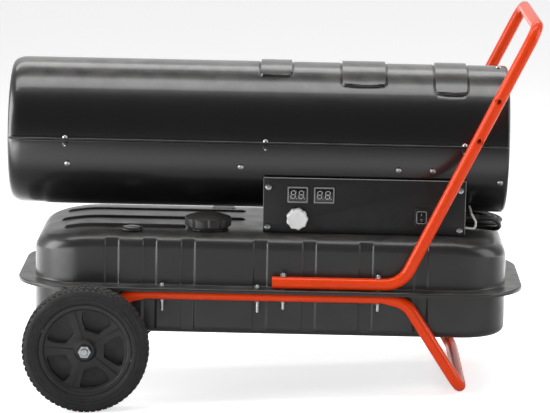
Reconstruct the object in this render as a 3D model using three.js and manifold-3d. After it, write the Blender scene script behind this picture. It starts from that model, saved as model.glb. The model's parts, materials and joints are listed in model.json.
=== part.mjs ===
// Forced air heater on wheels: an oil burner in a horizontal barrel, carried by the
// fuel tank that it drinks from, with a bent tube frame, a handle and two wheels.
// Millimetres. Inside the heater group +X runs along the barrel from the hot outlet to
// the fan, +Z is up and the control panel faces -Y. The heights are measured from the
// barrel's axis, and the whole group is tipped to stand on its wheels and ground bar.

import * as THREE from 'three';
import { mergeVertices } from 'three/addons/utils/BufferGeometryUtils.js';
import Module from 'manifold-3d';

const wasm = await Module();
wasm.setup();

// ---------------------------------------------------------------- driving dimensions

const touch = 0.3;              // gap between two pieces that touch
const sheet = 1.5;              // thickness of the pressed steel

const barrelRadius = 122.5;
const barrelLength = 825;
const barrelFacets = 32;
const innerFacets = 20;           // of the round pieces inside the barrel
const outletCurl = 12;          // radius of the rolled edge at the outlet
const inletCurl = 5;            // radius of the rolled edge at the fan end
const seamHeight = 3;           // where the two half shells meet
const lipWidth = 9;
const upperLipHeight = 3.2;
const lowerLipHeight = 2;
const lowerLipInset = 30;       // the lower lip stops short of the barrel's ends
const padRise = 3.3;
const pads = [                  // raised bands over the top: middle, width, lower edge
  { middle: 27, width: 53, edgeAngle: 59.5 },
  { middle: 172, width: 73, edgeAngle: 50.4 },
  { middle: 316, width: 54, edgeAngle: 43.8 },
];

const chamberRadius = 76;
const throatRadius = 44;
const throatLength = 50;
const supportPlaces = [-313, -28];
const supportWidth = 16;
const supportAngle = 18;        // screws sit this far below the seam

const fanMiddle = 238;
const chamberFront = -372;
const chamberRear = fanMiddle - 128;
const motorRadius = 46;
const motorRear = fanMiddle + 114;
const motorLength = 82;
const shaftRadius = 5;
const bearingPlay = 0.35;
const fanRadius = 108;
const fanHubRadius = 24;
const fanBlades = 5;
const pumpRadius = 34;
const pumpLength = 24;
const rotorRadius = 20;
const filterLength = 14;
const guardPlace = 404;
const guardWire = 1.6;
const guardRings = [32, 62, 92];
const guardSpokes = 8;
const guardFacets = 2 * guardSpokes;

const tankMiddle = 23.5;
const tankLength = 781;
const tankWidth = 312;
const tankCorner = 77;
const tankHeight = 169.5;
const barrelLift = 24;          // from the tank's top to the barrel
const tankTop = -(barrelRadius + barrelLift);
const tankBottom = tankTop - tankHeight;
const tankEdge = 12;            // radius of the tank's pressed edges
const tankDroop = 18;           // how far the tank's top falls at its ends
const droopLength = 105;
const shoulder = 45;            // inset of the ring where the top's fall steepens
const flangeTop = tankTop - 83.8;
const flangeWidth = 28;
const flangeLip = 7;
const fluteWidth = 22;
const fluteDepth = 2;
const flutePlaces = [-236, -174, -111, 7.6, 87.6, 181, 271.4];
const beadRows = [              // pressed beads on the tank's top
  { side: -tankWidth / 4, from: -309, to: -134 },
  { side: 0, from: -318, to: -30 },
  { side: tankWidth / 4, from: -315, to: -28 },
];
const beadWidth = 9;
const beadRise = 2.4;

const capPlace = { x: -81, y: 66 - tankWidth / 2 };
const neckRadius = 30;
const neckFacets = 16;
const neckHeight = 11;
const capRadius = 38.5;
const capHeight = 19;
const capClearance = 7;         // from the tank's top to the cap's skirt
const capLobes = 10;
const gaugePlace = { x: -206, y: 42 - tankWidth / 2 };
const gaugeRadius = 18.5;
const floatArm = 86;
const floatFall = 55;           // degrees below level, where the empty tank leaves it
const drainPlace = 300;
const bossPlace = { x: -60, y: tankWidth / 2 - 52 };
const bossRadius = 20;

const panelLeft = 10;
const panelWidth = 333;
const panelHeight = 91;
const panelTop = tankTop + 1 + panelHeight;
const boxDepth = 40;
const displaySize = { width: 36, height: 29, depth: 12 };
const displayPlaces = [66.5, 110];
const displayHeight = panelTop - 28;
const displayClearance = 0.1;   // from the displays' upper back edge to the barrel
const panelFront = -displaySize.depth - Math.sqrt(
  (barrelRadius + displayClearance) ** 2 - (displayHeight + displaySize.height / 2) ** 2);
const knobPlace = { x: 66.3, z: panelTop - 67.5 };
const knobRadius = 18.3;
const knobLobes = 9;
const switchPlace = { x: 270.8, z: panelTop - 61 };
const saddlePlaces = [45, 235];
const saddleWidth = 30;
const saddleReach = 66;

const tubeRadius = 10.5;
const tubeSides = 10;
const trackHalf = tankWidth / 2 + 13;   // from the middle plane to each tube's axis
const frameHeight = flangeTop - 2 * sheet - 2 * touch - tubeRadius - touch;
const handleHeight = flangeTop + touch + tubeRadius;
const frameBend = { x: -209, radius: 36 };
const legBend = { x: 244.5, radius: 46 };
const legFoot = { x: 340.5, z: tankBottom - 75 };
const footRadius = 28;
const handleStart = 27.5;
const handleBend = { x: 239, radius: 46 };
const handleTop = { x: 448, z: barrelRadius + 85.1 };
const handleCorner = 30;
const frameBolts = [-152, 4];
const handleBolts = [46, 201];
const boltRadius = 3;
const boltHead = 5.4;

const axlePlace = { x: -274, z: tankBottom - 12.2 };
const axleRadius = 7;
const wheelRadius = 103.5;
const wheelWidth = 41;
const wheelInner = trackHalf + 18;   // from the middle plane to the wheel's inner face
const rimRadius = 76;
const tyreFacets = 32;
const hubFacets = 20;
const axleFacets = 12;
const hubBore = axleRadius + 0.35;

const strainPlace = { y: panelFront + 26, z: panelTop - 63.5 };
const strainLength = 25;
const strainRadius = 6.4;
const cordDiameter = 7;
const cordBend = 28;            // radius of the cord's turn back towards its coil
const cordStraight = 9;
const coilX = 360;
const coilRadius = 40;          // at the middle of the turns
const layerTurns = 3;           // loops in each of the coil's two layers
const loopGap = 0.9;
const cordTail = 33;            // straight run from the coil to the plug
const plugSize = { sleeve: 18, length: 30, width: 25, height: 20, pin: 16 };
const hoseRadius = 1.6;

// ------------------------------------------------------------------------ solid tools

const paint = {
  gloss: { color: 0x0c0c0d, roughness: 0.22, metalness: 0.3 },
  satin: { color: 0x3a3b3b, roughness: 0.5, metalness: 0.25 },
  panel: { color: 0x222324, roughness: 0.6, metalness: 0.1 },
  orange: { color: 0xd83a17, roughness: 0.25, metalness: 0.1 },
  steel: { color: 0x9a9c9e, roughness: 0.38, metalness: 0.9 },
  heat: { color: 0x6f6a66, roughness: 0.55, metalness: 0.8 },
  zinc: { color: 0xb9bcbe, roughness: 0.32, metalness: 0.9 },
  brass: { color: 0xb08d4c, roughness: 0.35, metalness: 0.9 },
  black: { color: 0x161616, roughness: 0.55, metalness: 0 },
  rubber: { color: 0x1d1d1d, roughness: 0.85, metalness: 0 },
  grey: { color: 0xb5b8bb, roughness: 0.5, metalness: 0 },
  ceramic: { color: 0xeae6dc, roughness: 0.4, metalness: 0 },
  board: { color: 0x2c5a3c, roughness: 0.6, metalness: 0 },
};

const heater = new THREE.Group();
const pieces = new Map();

// Adds one piece of the heater, and keeps it to be found by its name.
function add(name, geometry, look, parent = heater) {
  const mesh = new THREE.Mesh(geometry, new THREE.MeshStandardMaterial(paint[look]));
  mesh.name = name;
  parent.add(mesh);
  pieces.set(name, mesh);
  return mesh;
}

// Turns a closed geometry into a solid that can be cut and joined.
function solid(geometry) {
  const bare = new THREE.BufferGeometry();
  bare.setAttribute('position', geometry.getAttribute('position').clone());
  if (geometry.getIndex()) bare.setIndex(geometry.getIndex().clone());
  const merged = mergeVertices(bare, 1e-3);
  const corners = merged.getIndex().array;
  const kept = [];
  for (let i = 0; i < corners.length; i += 3) {
    const [a, b, c] = [corners[i], corners[i + 1], corners[i + 2]];
    if (a !== b && b !== c && c !== a) kept.push(a, b, c);
  }
  return new wasm.Manifold(new wasm.Mesh({
    numProp: 3,
    vertProperties: new Float32Array(merged.getAttribute('position').array),
    triVerts: new Uint32Array(kept),
  }));
}

// Turns a solid back into a geometry.
function shape(body) {
  const mesh = body.getMesh();
  const geometry = new THREE.BufferGeometry();
  geometry.setAttribute('position', new THREE.BufferAttribute(mesh.vertProperties, 3));
  geometry.setIndex(new THREE.BufferAttribute(mesh.triVerts, 1));
  return geometry;
}

const join = (first, ...rest) => rest.reduce((sum, next) => sum.add(next), first);
const cut = (first, ...rest) => rest.reduce((left, next) => left.subtract(next), first);

// A box between two corners.
function block(x0, x1, y0, y1, z0, z1) {
  const box = new THREE.BoxGeometry(x1 - x0, y1 - y0, z1 - z0);
  return solid(box.translate((x0 + x1) / 2, (y0 + y1) / 2, (z0 + z1) / 2));
}

const alongAxis = {
  x: new THREE.Matrix4().makeBasis(
    new THREE.Vector3(0, 1, 0), new THREE.Vector3(1, 0, 0), new THREE.Vector3(0, 0, -1)),
  y: new THREE.Matrix4(),
  z: new THREE.Matrix4().makeRotationX(Math.PI / 2),
};

// A turned piece: the outline holds [radius, distance along the axis] pairs.
function turned(outline, axis, facets, place = [0, 0, 0]) {
  const points = outline.map(([radius, along]) => new THREE.Vector2(radius, along));
  if (THREE.ShapeUtils.area(points) < 0) points.reverse();
  if (points[0].x > 0) points.push(points[0].clone());
  const geometry = new THREE.LatheGeometry(points, facets);
  return solid(geometry.applyMatrix4(alongAxis[axis])).translate(place);
}

// A disc or a rod along an axis.
function rod(radius, start, end, axis, facets, place) {
  return turned([[0, start], [radius, start], [radius, end], [0, end]], axis, facets, place);
}

const planes = {
  yz: new THREE.Matrix4().makeBasis(
    new THREE.Vector3(0, 1, 0), new THREE.Vector3(0, 0, 1), new THREE.Vector3(1, 0, 0)),
  xz: new THREE.Matrix4().makeBasis(
    new THREE.Vector3(1, 0, 0), new THREE.Vector3(0, 0, 1), new THREE.Vector3(0, -1, 0)),
  xy: new THREE.Matrix4(),
};

// A flat outline drawn in a plane and given a thickness along the plane's normal.
function plate(outline, plane, depth, start, steps = 8) {
  const geometry = new THREE.ExtrudeGeometry(outline, {
    depth, bevelEnabled: false, curveSegments: steps,
  });
  geometry.translate(0, 0, start);
  return solid(geometry.applyMatrix4(planes[plane]));
}

function outlineOf(points) {
  return new THREE.Shape(points.map(([x, y]) => new THREE.Vector2(x, y)));
}

const degrees = Math.PI / 180;

// A path of straight runs whose corners are rounded, sampled only where it bends.
class BentPath extends THREE.Curve {
  constructor(corners, radii, bendSteps) {
    super();
    this.stations = [];
    const vectors = corners.map(([x, y, z]) => new THREE.Vector3(x, y, z));
    const last = vectors.length - 1;
    const heading = (a, b) => vectors[b].clone().sub(vectors[a]).normalize();
    this.stations.push({ at: vectors[0], heading: heading(0, 1) });
    for (let i = 1; i < last; i += 1) {
      const before = heading(i - 1, i);
      const after = heading(i, i + 1);
      const turn = before.angleTo(after);
      const reach = radii[i - 1] * Math.tan(turn / 2);
      const side = after.clone().addScaledVector(before, -Math.cos(turn)).normalize();
      const start = vectors[i].clone().addScaledVector(before, -reach);
      for (let step = 0; step <= bendSteps; step += 1) {
        const angle = turn * step / bendSteps;
        const at = start.clone()
          .addScaledVector(before, radii[i - 1] * Math.sin(angle))
          .addScaledVector(side, radii[i - 1] * (1 - Math.cos(angle)));
        const along = before.clone().multiplyScalar(Math.cos(angle))
          .addScaledVector(side, Math.sin(angle));
        this.stations.push({ at, heading: along });
      }
    }
    this.stations.push({ at: vectors[last], heading: heading(last - 1, last) });
    this.steps = this.stations.length - 1;
  }

  getUtoTmapping(u) {
    return u;
  }

  getPoint(t) {
    const place = Math.min(t * this.steps, this.steps);
    const index = Math.min(Math.floor(place + 1e-6), this.steps - 1);
    return this.stations[index].at.clone().lerp(this.stations[index + 1].at, place - index);
  }

  getTangent(t) {
    return this.stations[Math.round(t * this.steps)].heading.clone();
  }
}

// A polygon of equal sides, used as a tube's section.
function section(radius, sides) {
  const points = [];
  for (let i = 0; i < sides; i += 1) {
    const angle = (i + 0.5) * 2 * Math.PI / sides;
    points.push([radius * Math.cos(angle), radius * Math.sin(angle)]);
  }
  return outlineOf(points);
}

function tube(path, steps, radius, sides) {
  return new THREE.ExtrudeGeometry(section(radius, sides), { steps, extrudePath: path });
}

function bentTube(corners, radii, bendSteps, radius, sides) {
  const path = new BentPath(corners, radii, bendSteps);
  return tube(path, path.steps, radius, sides);
}

// ----------------------------------------------------------------------- barrel shells

const halfBarrel = barrelLength / 2;
const innerRadius = barrelRadius - sheet;

// The whole pressed barrel: a tube whose two ends are rolled inwards.
function barrelTube() {
  const outline = [];
  const rolled = (curl, end, away, radius, from, to) => {
    const steps = curl > inletCurl ? 3 : 2;
    for (let i = 0; i <= steps; i += 1) {
      const angle = (from + (to - from) * i / steps) * degrees;
      outline.push([
        barrelRadius - curl + radius * Math.sin(angle),
        end - away * (curl - radius * Math.cos(angle)),
      ]);
    }
  };
  rolled(outletCurl, -halfBarrel, -1, outletCurl, 0, 90);
  rolled(inletCurl, halfBarrel, 1, inletCurl, 90, 0);
  rolled(inletCurl, halfBarrel, 1, inletCurl - sheet, 0, 90);
  rolled(outletCurl, -halfBarrel, -1, outletCurl - sheet, 90, 0);
  return turned(outline, 'x', barrelFacets);
}

// One seam lip, on both sides of the barrel.
function lips(low, high, inset) {
  const reach = halfBarrel - inset;
  const side = (sign) => {
    const ends = [sign * (innerRadius + sheet / 2), sign * (barrelRadius + lipWidth)];
    return block(-reach, reach, Math.min(...ends), Math.max(...ends), low, high);
  };
  return side(1).add(side(-1));
}

// A raised band over the top of the upper shell, hollow underneath.
function padSolid(pad, rise, inset, under) {
  const low = pad.edgeAngle * degrees + inset / barrelRadius;
  const outer = barrelRadius + rise;
  const band = new THREE.Shape();
  band.absarc(0, 0, outer, low, Math.PI - low, false);
  band.absarc(0, 0, under, Math.PI - low, low, true);
  const start = pad.middle - pad.width / 2 + inset;
  const steps = Math.round((90 - pad.edgeAngle) / 10);
  return plate(band, 'yz', pad.width - 2 * inset, start, steps);
}

function makeShells() {
  const whole = barrelTube();
  const far = 2 * barrelRadius;
  const above = block(-far * 4, far * 4, -far, far, seamHeight + touch / 2, far);
  const below = block(-far * 4, far * 4, -far, far, -far, seamHeight - touch / 2);
  let upper = whole.add(lips(seamHeight - 1, seamHeight + upperLipHeight, 0)).intersect(above);
  for (const pad of pads) {
    upper = upper.add(padSolid(pad, padRise, 0, barrelRadius - sheet / 2));
    upper = upper.subtract(padSolid(pad, padRise - sheet, sheet, innerRadius - sheet));
  }
  const lower = whole
    .add(lips(seamHeight - touch / 2 - lowerLipHeight, seamHeight + 1, lowerLipInset))
    .intersect(below);
  add('upper_shell', shape(upper), 'gloss');
  add('lower_shell', shape(lower), 'gloss');
}

// ------------------------------------------------------------------ combustion chamber

function makeChamber() {
  const coneEnd = chamberRear + 34;
  const throatEnd = coneEnd + throatLength;
  const chamber = turned([
    [chamberRadius, chamberFront],
    [chamberRadius, chamberRear],
    [throatRadius, coneEnd],
    [throatRadius, throatEnd],
    [throatRadius - sheet, throatEnd],
    [throatRadius - sheet, coneEnd],
    [chamberRadius - sheet, chamberRear],
    [chamberRadius - sheet, chamberFront],
  ], 'x', innerFacets);
  add('combustion_chamber', shape(chamber), 'heat');

  const front = chamberFront - touch;
  let deflector = turned([
    [chamberRadius + 14, front - 16],
    [chamberRadius, front - sheet],
    [chamberRadius, front],
    [40, front],
    [40, front - sheet],
    [chamberRadius - 2, front - sheet],
    [chamberRadius + 12.5, front - 16],
  ], 'x', innerFacets);
  for (const angle of [0, 90]) {
    const bar = block(front - sheet, front, -42, 42, -9, 9).rotate([angle, 0, 0]);
    deflector = deflector.add(bar);
  }
  add('flame_deflector', shape(deflector), 'heat');

  const names = ['front', 'rear'];
  supportPlaces.forEach((place, index) => {
    const start = place - supportWidth / 2;
    const ring = new THREE.Shape();
    ring.absarc(0, 0, chamberRadius + touch + sheet, 0, 2 * Math.PI, false);
    const hole = new THREE.Path();
    hole.absarc(0, 0, chamberRadius + touch, 0, 2 * Math.PI, true);
    ring.holes.push(hole);
    let support = plate(ring, 'yz', supportWidth, start, innerFacets / 2);
    for (const angle of [180 + supportAngle, 270, 360 - supportAngle]) {
      support = support.add(supportLeg(start, angle));
    }
    add(`chamber_support_${names[index]}`, shape(support), 'steel');
  });
}

// A sheet leg from the chamber's strap to the barrel's wall, with a bent foot.
function supportLeg(start, angle) {
  const root = chamberRadius + touch + sheet / 2;
  const foot = innerRadius * Math.cos(6 * degrees) - touch - 1;
  const leg = join(
    block(start, start + supportWidth, -sheet / 2, sheet / 2, -foot, -root),
    block(start, start + supportWidth, -sheet / 2, 10, -foot, -foot + sheet));
  return leg.rotate([angle - 270, 0, 0]);
}

// ------------------------------------------------------------------------- burner head

const headPlace = chamberRear + 34 + throatLength + touch;

function makeBurnerHead() {
  const seat = throatRadius - sheet - touch;
  const head = turned([
    [10, headPlace - 18],
    [seat, headPlace - 18],
    [seat, headPlace],
    [throatRadius + 10, headPlace],
    [throatRadius + 10, headPlace + sheet],
    [seat - sheet, headPlace + sheet],
    [seat - sheet, headPlace - 18 + sheet],
    [10, headPlace - 18 + sheet],
  ], 'x', innerFacets);
  const slots = [];
  for (let i = 0; i < 6; i += 1) {
    const slot = block(headPlace - 20, headPlace - 14, -3, 3, 20, 34);
    slots.push(slot.rotate([i * 60, 0, 0]));
  }
  const feed = rod(4, headPlace - 30, headPlace + 10, 'x', 10, [0, -28, 0]);
  add('burner_head', shape(cut(head, ...slots, feed)), 'steel');

  const nozzle = turned([
    [0, headPlace - 26], [4, headPlace - 24], [7.5, headPlace - 18 - touch],
    [9.5, headPlace - 18], [9.5, headPlace - 4], [12.5, headPlace - 4],
    [12.5, headPlace + 8], [0, headPlace + 8],
  ], 'x', 12);
  const spigot = rod(3, headPlace + 7, headPlace + 20, 'x', 8);
  add('nozzle', shape(nozzle.add(spigot)), 'brass');

  const insulator = turned([
    [0, headPlace - 17], [3.6, headPlace - 17], [3.6, headPlace + 4],
    [5, headPlace + 4], [5, headPlace + 16], [0, headPlace + 16],
  ], 'x', 10, [0, -28, 0]);
  const wire = bentTube([
    [headPlace - 15, -28, 0], [headPlace - 34, -28, 0], [headPlace - 38, -8, 0],
  ], [5], 3, 1.2, 6);
  add('spark_electrode', shape(insulator.add(solid(wire))), 'ceramic');
}

// ------------------------------------------------------------- motor, fan and air pump

function makeMotor() {
  const front = motorRear - motorLength;
  const bore = shaftRadius + bearingPlay;
  const can = turned([
    [bore, front - 6], [14, front - 6], [16, front],
    [motorRadius - 4, front], [motorRadius, front + 4],
    [motorRadius, motorRear - 4], [motorRadius - 4, motorRear], [bore, motorRear],
  ], 'x', innerFacets);
  add('motor', shape(can), 'satin');

  const middle = (front + motorRear) / 2;
  const strap = new THREE.Shape();
  strap.absarc(0, 0, motorRadius + touch + 2, 0, 2 * Math.PI, false);
  const hole = new THREE.Path();
  hole.absarc(0, 0, motorRadius + touch, 0, 2 * Math.PI, true);
  strap.holes.push(hole);
  let bracket = plate(strap, 'yz', 2 * supportWidth, middle - supportWidth, innerFacets / 2);
  const foot = innerRadius * Math.cos(8 * degrees) - touch - 1;
  for (const angle of [180 + supportAngle, 360 - supportAngle]) {
    const leg = join(
      block(middle - supportWidth, middle + supportWidth, -1, 1, -foot, -motorRadius - 1),
      block(middle - supportWidth, middle + supportWidth, -1, 16, -foot, -foot + 2));
    bracket = bracket.add(leg.rotate([angle - 270, 0, 0]));
  }
  add('motor_bracket', shape(bracket), 'steel');

  const hub = turned([
    [shaftRadius + touch, -14], [fanHubRadius, -14], [fanHubRadius, 14],
    [shaftRadius + touch, 14],
  ], 'x', innerFacets).rotate([180 / innerFacets, 0, 0]).translate([fanMiddle, 0, 0]);
  const blades = [];
  for (let i = 0; i < fanBlades; i += 1) blades.push(fanBlade(i * 360 / fanBlades));
  add('fan', shape(join(hub, ...blades)), 'steel');

  const rotorEnd = motorRear + touch + pumpLength - 6;
  const shaft = join(
    rod(shaftRadius, fanMiddle - 16, rotorEnd, 'x', 12),
    rod(rotorRadius, motorRear + 5, rotorEnd, 'x', 20));
  const vanes = [];
  for (let i = 0; i < 4; i += 1) {
    const slot = block(motorRear + 4, rotorEnd + 1, -1.2, 1.2, 9, rotorRadius + 1);
    vanes.push(slot.rotate([i * 90, 0, 0]));
  }
  add('motor_shaft', shape(cut(shaft, ...vanes)), 'steel');
}

// A fan blade: a plate cut to a sector, pitched and slightly cupped.
function fanBlade(angle) {
  const outline = new THREE.Shape();
  outline.absarc(0, 0, fanRadius, -27 * degrees, 27 * degrees, false);
  outline.absarc(0, 0, fanHubRadius - 4, 20 * degrees, -20 * degrees, true);
  const flat = new THREE.ExtrudeGeometry(outline, {
    depth: sheet, bevelEnabled: false, curveSegments: 4,
  });
  flat.translate(0, 0, -sheet / 2);
  const place = flat.getAttribute('position');
  for (let i = 0; i < place.count; i += 1) {
    const across = place.getY(i);
    const pitch = 30 * degrees;
    place.setXYZ(i,
      across * Math.sin(pitch) - place.getZ(i) * Math.cos(pitch),
      across * Math.cos(pitch) + place.getZ(i) * Math.sin(pitch),
      place.getX(i));
  }
  return solid(flat.rotateX(angle * degrees).translate(fanMiddle, 0, 0));
}

function makePump() {
  const front = motorRear + touch;
  const rear = front + pumpLength;
  const bore = shaftRadius + bearingPlay;
  const body = turned([
    [bore, front], [pumpRadius, front], [pumpRadius, rear], [rotorRadius + 2, rear],
    [rotorRadius + 2, front + 3.5], [bore, front + 3.5],
  ], 'x', 20);
  const outlet = rod(5, -pumpRadius - 10, -pumpRadius + 6, 'z', 10, [front + 14, 0, 0]);
  add('air_pump', shape(body.add(outlet)), 'steel');

  const coverStart = rear + touch;
  const coverEnd = coverStart + filterLength;
  let cover = turned([
    [0, coverStart], [pumpRadius, coverStart], [pumpRadius, coverEnd - 4],
    [pumpRadius - 4, coverEnd], [0, coverEnd],
  ], 'x', 20);
  for (let i = 0; i < 6; i += 1) {
    const vent = block(coverEnd - 5, coverEnd + 1, -2, 2, 10, 24).rotate([i * 60, 0, 0]);
    cover = cover.subtract(vent);
  }
  add('air_filter_cover', shape(cover), 'black');
}

// The wire guard over the air inlet.
function makeGuard() {
  const ringOf = (radius) => {
    const points = [];
    for (let i = 0; i < 4; i += 1) {
      const angle = (i + 0.5) * Math.PI / 2;
      points.push([radius + guardWire * Math.cos(angle), guardPlace + guardWire * Math.sin(angle)]);
    }
    return turned(points, 'x', guardFacets);
  };
  const rim = barrelRadius - sheet - touch - 1.2;
  const outer = turned([
    [rim - 5, guardPlace + 1], [rim, guardPlace - 16], [rim + 1.2, guardPlace - 16],
    [rim + 1.2, guardPlace - 6], [rim - 3.5, guardPlace + 1],
  ], 'x', guardFacets);
  let guard = join(outer, ...guardRings.map(ringOf));
  for (let i = 0; i < guardSpokes; i += 1) {
    const spoke = solid(tube(new THREE.LineCurve3(
      new THREE.Vector3(guardPlace - guardWire, 0, guardRings[0]),
      new THREE.Vector3(guardPlace - guardWire, 0, rim - 3)), 1, guardWire, 4));
    guard = guard.add(spoke.rotate([i * 360 / guardSpokes, 0, 0]));
  }
  add('fan_guard', shape(guard), 'black');
}

// -------------------------------------------------------------------------- fuel tank

// The fall of the tank's top near its two ends.
function droop(x) {
  const fromEnd = tankLength / 2 - Math.abs(x - tankMiddle);
  const share = Math.max(0, (droopLength - fromEnd) / droopLength);
  return tankDroop * share * share;
}

// A rounded rectangle, the tank's plan drawn in by an inset.
function tankPlan(inset) {
  const halfLength = tankLength / 2 - inset;
  const halfWidth = tankWidth / 2 - inset;
  const radius = Math.max(tankCorner - inset, 6);
  const points = [];
  const bendSteps = 4;
  for (let corner = 0; corner < 4; corner += 1) {
    const signX = corner === 0 || corner === 3 ? 1 : -1;
    const signY = corner < 2 ? 1 : -1;
    const ease = [
      tankMiddle + signX * (tankLength / 2 - Math.max(droopLength, inset + radius + 4)),
      signY * halfWidth,
    ];
    if (corner % 2 === 1) points.push(ease);
    for (let step = 0; step <= bendSteps; step += 1) {
      const angle = (corner + step / bendSteps) * Math.PI / 2;
      points.push([
        tankMiddle + signX * (halfLength - radius) + radius * Math.cos(angle),
        signY * (halfWidth - radius) + radius * Math.sin(angle),
      ]);
    }
    if (corner % 2 === 0) points.push(ease);
  }
  return points;
}

// A pressed pan: rings of the plan, each given by its inset and height, joined and capped.
function pan(rings) {
  const places = [];
  const faces = [];
  const count = tankPlan(0).length;
  for (const ring of rings) {
    for (const [x, y] of tankPlan(ring.inset)) {
      places.push(x, y, ring.height - (ring.falls ? droop(x) : 0));
    }
  }
  for (let row = 0; row + 1 < rings.length; row += 1) {
    for (let i = 0; i < count; i += 1) {
      const next = (i + 1) % count;
      const [a, b] = [row * count + i, row * count + next];
      const [c, d] = [a + count, b + count];
      faces.push(a, b, d, a, d, c);
    }
  }
  const cap = THREE.ShapeUtils.triangulateShape(
    tankPlan(rings[0].inset).map(([x, y]) => new THREE.Vector2(x, y)), []);
  const lastRow = (rings.length - 1) * count;
  for (const [a, b, c] of cap) {
    faces.push(a, c, b, lastRow + a, lastRow + b, lastRow + c);
  }
  const geometry = new THREE.BufferGeometry();
  geometry.setAttribute('position', new THREE.Float32BufferAttribute(places, 3));
  geometry.setIndex(faces);
  return geometry;
}

const lowerFlange = flangeTop - sheet - touch;

// Adds the pressed upright flutes to both long walls of a pan.
function fluted(body, low, high) {
  const wall = tankWidth / 2;
  let result = body;
  for (const side of [-1, 1]) {
    const slab = (from, to, x, half) => {
      const ends = [side * from, side * to];
      return block(x - half, x + half, Math.min(...ends), Math.max(...ends), low, high);
    };
    for (const place of flutePlaces) {
      const half = fluteWidth / 2;
      result = result.add(slab(wall - sheet - fluteDepth, wall - sheet / 2, place, half + sheet));
      result = result.subtract(slab(wall - fluteDepth, wall + 1, place, half));
    }
  }
  return result;
}

// A bead on the tank's top: a low ridge that follows the top where it falls to the end.
function beadSolid(row) {
  const half = beadWidth / 2;
  const root = -sheet / 2;
  const bend = tankMiddle - tankLength / 2 + droopLength;
  const stations = [row.from, row.from + beadWidth, bend, row.to - beadWidth, row.to];
  const count = stations.length - 1;
  const chord = droop(bend - droopLength + shoulder) / (droopLength - shoulder);
  const places = [];
  const faces = [];
  const profile = [[-half, root], [-half, 0.3], [-half * 0.5, 1], [half * 0.5, 1],
    [half, 0.3], [half, root]];
  stations.forEach((x, i) => {
    const rise = i === 0 || i === count ? -0.25 : 1;
    const top = tankTop - chord * Math.max(0, bend - x);
    for (const [across, up] of profile) {
      places.push(x, row.side + across, top + (up > 0 ? up * beadRise * rise : up));
    }
  });
  const sides = profile.length;
  for (let i = 0; i < count; i += 1) {
    for (let j = 0; j < sides; j += 1) {
      const [a, b] = [i * sides + j, i * sides + (j + 1) % sides];
      faces.push(a, b + sides, b, a, a + sides, b + sides);
    }
  }
  for (let j = 1; j + 1 < sides; j += 1) {
    faces.push(0, j, j + 1);
    faces.push(count * sides, count * sides + j + 1, count * sides + j);
  }
  const geometry = new THREE.BufferGeometry();
  geometry.setAttribute('position', new THREE.Float32BufferAttribute(places, 3));
  geometry.setIndex(faces);
  return solid(geometry);
}

function makeTank() {
  const inner = tankTop - sheet;
  const root = flangeTop - sheet;
  const lip = flangeTop - sheet - flangeLip;
  const upper = solid(pan([
    { inset: droopLength, height: tankTop },
    { inset: shoulder, height: tankTop, falls: true },
    { inset: tankEdge, height: tankTop, falls: true },
    { inset: tankEdge * 0.3, height: tankTop - tankEdge * 0.3, falls: true },
    { inset: 0, height: tankTop - tankEdge, falls: true },
    { inset: 0, height: flangeTop + 3 },
    { inset: -3, height: flangeTop },
    { inset: -flangeWidth, height: flangeTop },
    { inset: -flangeWidth, height: lip },
    { inset: -flangeWidth + sheet, height: lip },
    { inset: -flangeWidth + sheet, height: root },
    { inset: sheet, height: root },
    { inset: sheet, height: tankTop - tankEdge, falls: true },
    { inset: tankEdge + sheet, height: inner, falls: true },
    { inset: droopLength, height: inner },
  ].reverse()));
  const filler = rod(neckRadius - 4, tankTop - 10, tankTop + 10, 'z', neckFacets,
    [capPlace.x, capPlace.y, 0]);
  const sender = rod(gaugeRadius - 5, tankTop - 10, tankTop + 10, 'z', 20,
    [gaugePlace.x, gaugePlace.y, 0]);
  const boss = turned([
    [0, tankTop - sheet / 2], [bossRadius, tankTop - sheet / 2], [bossRadius, tankTop + 2],
    [bossRadius - 2, tankTop + 3], [0, tankTop + 3],
  ], 'z', 20, [bossPlace.x, bossPlace.y, 0]);
  const dressed = join(
    fluted(upper, flangeTop + 4, tankTop - tankEdge - 1), boss, ...beadRows.map(beadSolid));
  const holes = boltHoles([...frameBolts, ...handleBolts], flangeTop - 5, flangeTop + 5);
  add('tank_upper', shape(cut(dressed, filler, sender, ...holes)), 'satin');

  const base = tankBottom + sheet;
  const lower = solid(pan([
    { inset: droopLength, height: base },
    { inset: tankEdge + sheet, height: base },
    { inset: sheet, height: base + tankEdge },
    { inset: sheet, height: lowerFlange },
    { inset: -flangeWidth + 2 * sheet + touch, height: lowerFlange },
    { inset: -flangeWidth + 2 * sheet + touch, height: lowerFlange - sheet },
    { inset: 0, height: lowerFlange - sheet },
    { inset: 0, height: tankBottom + tankEdge },
    { inset: tankEdge * 0.3, height: tankBottom + tankEdge * 0.3 },
    { inset: tankEdge, height: tankBottom },
    { inset: droopLength, height: tankBottom },
  ].reverse()));
  const drain = rod(8, tankBottom - 5, tankBottom + 5, 'z', 16, [drainPlace, 0, 0]);
  const plain = fluted(lower, tankBottom + tankEdge + 4, lowerFlange - sheet - 1);
  add('tank_lower', shape(cut(plain, drain, ...holes)), 'satin');

  const plug = turned([
    [0, tankBottom - 6], [11, tankBottom - 6], [11, tankBottom - touch],
    [8 - touch, tankBottom - touch], [8 - touch, tankBottom + 6], [0, tankBottom + 6],
  ], 'z', 6, [drainPlace, 0, 0]);
  add('drain_plug', shape(plug), 'zinc');
}

// ---------------------------------------------------------------- filler, cap and gauge

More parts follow.
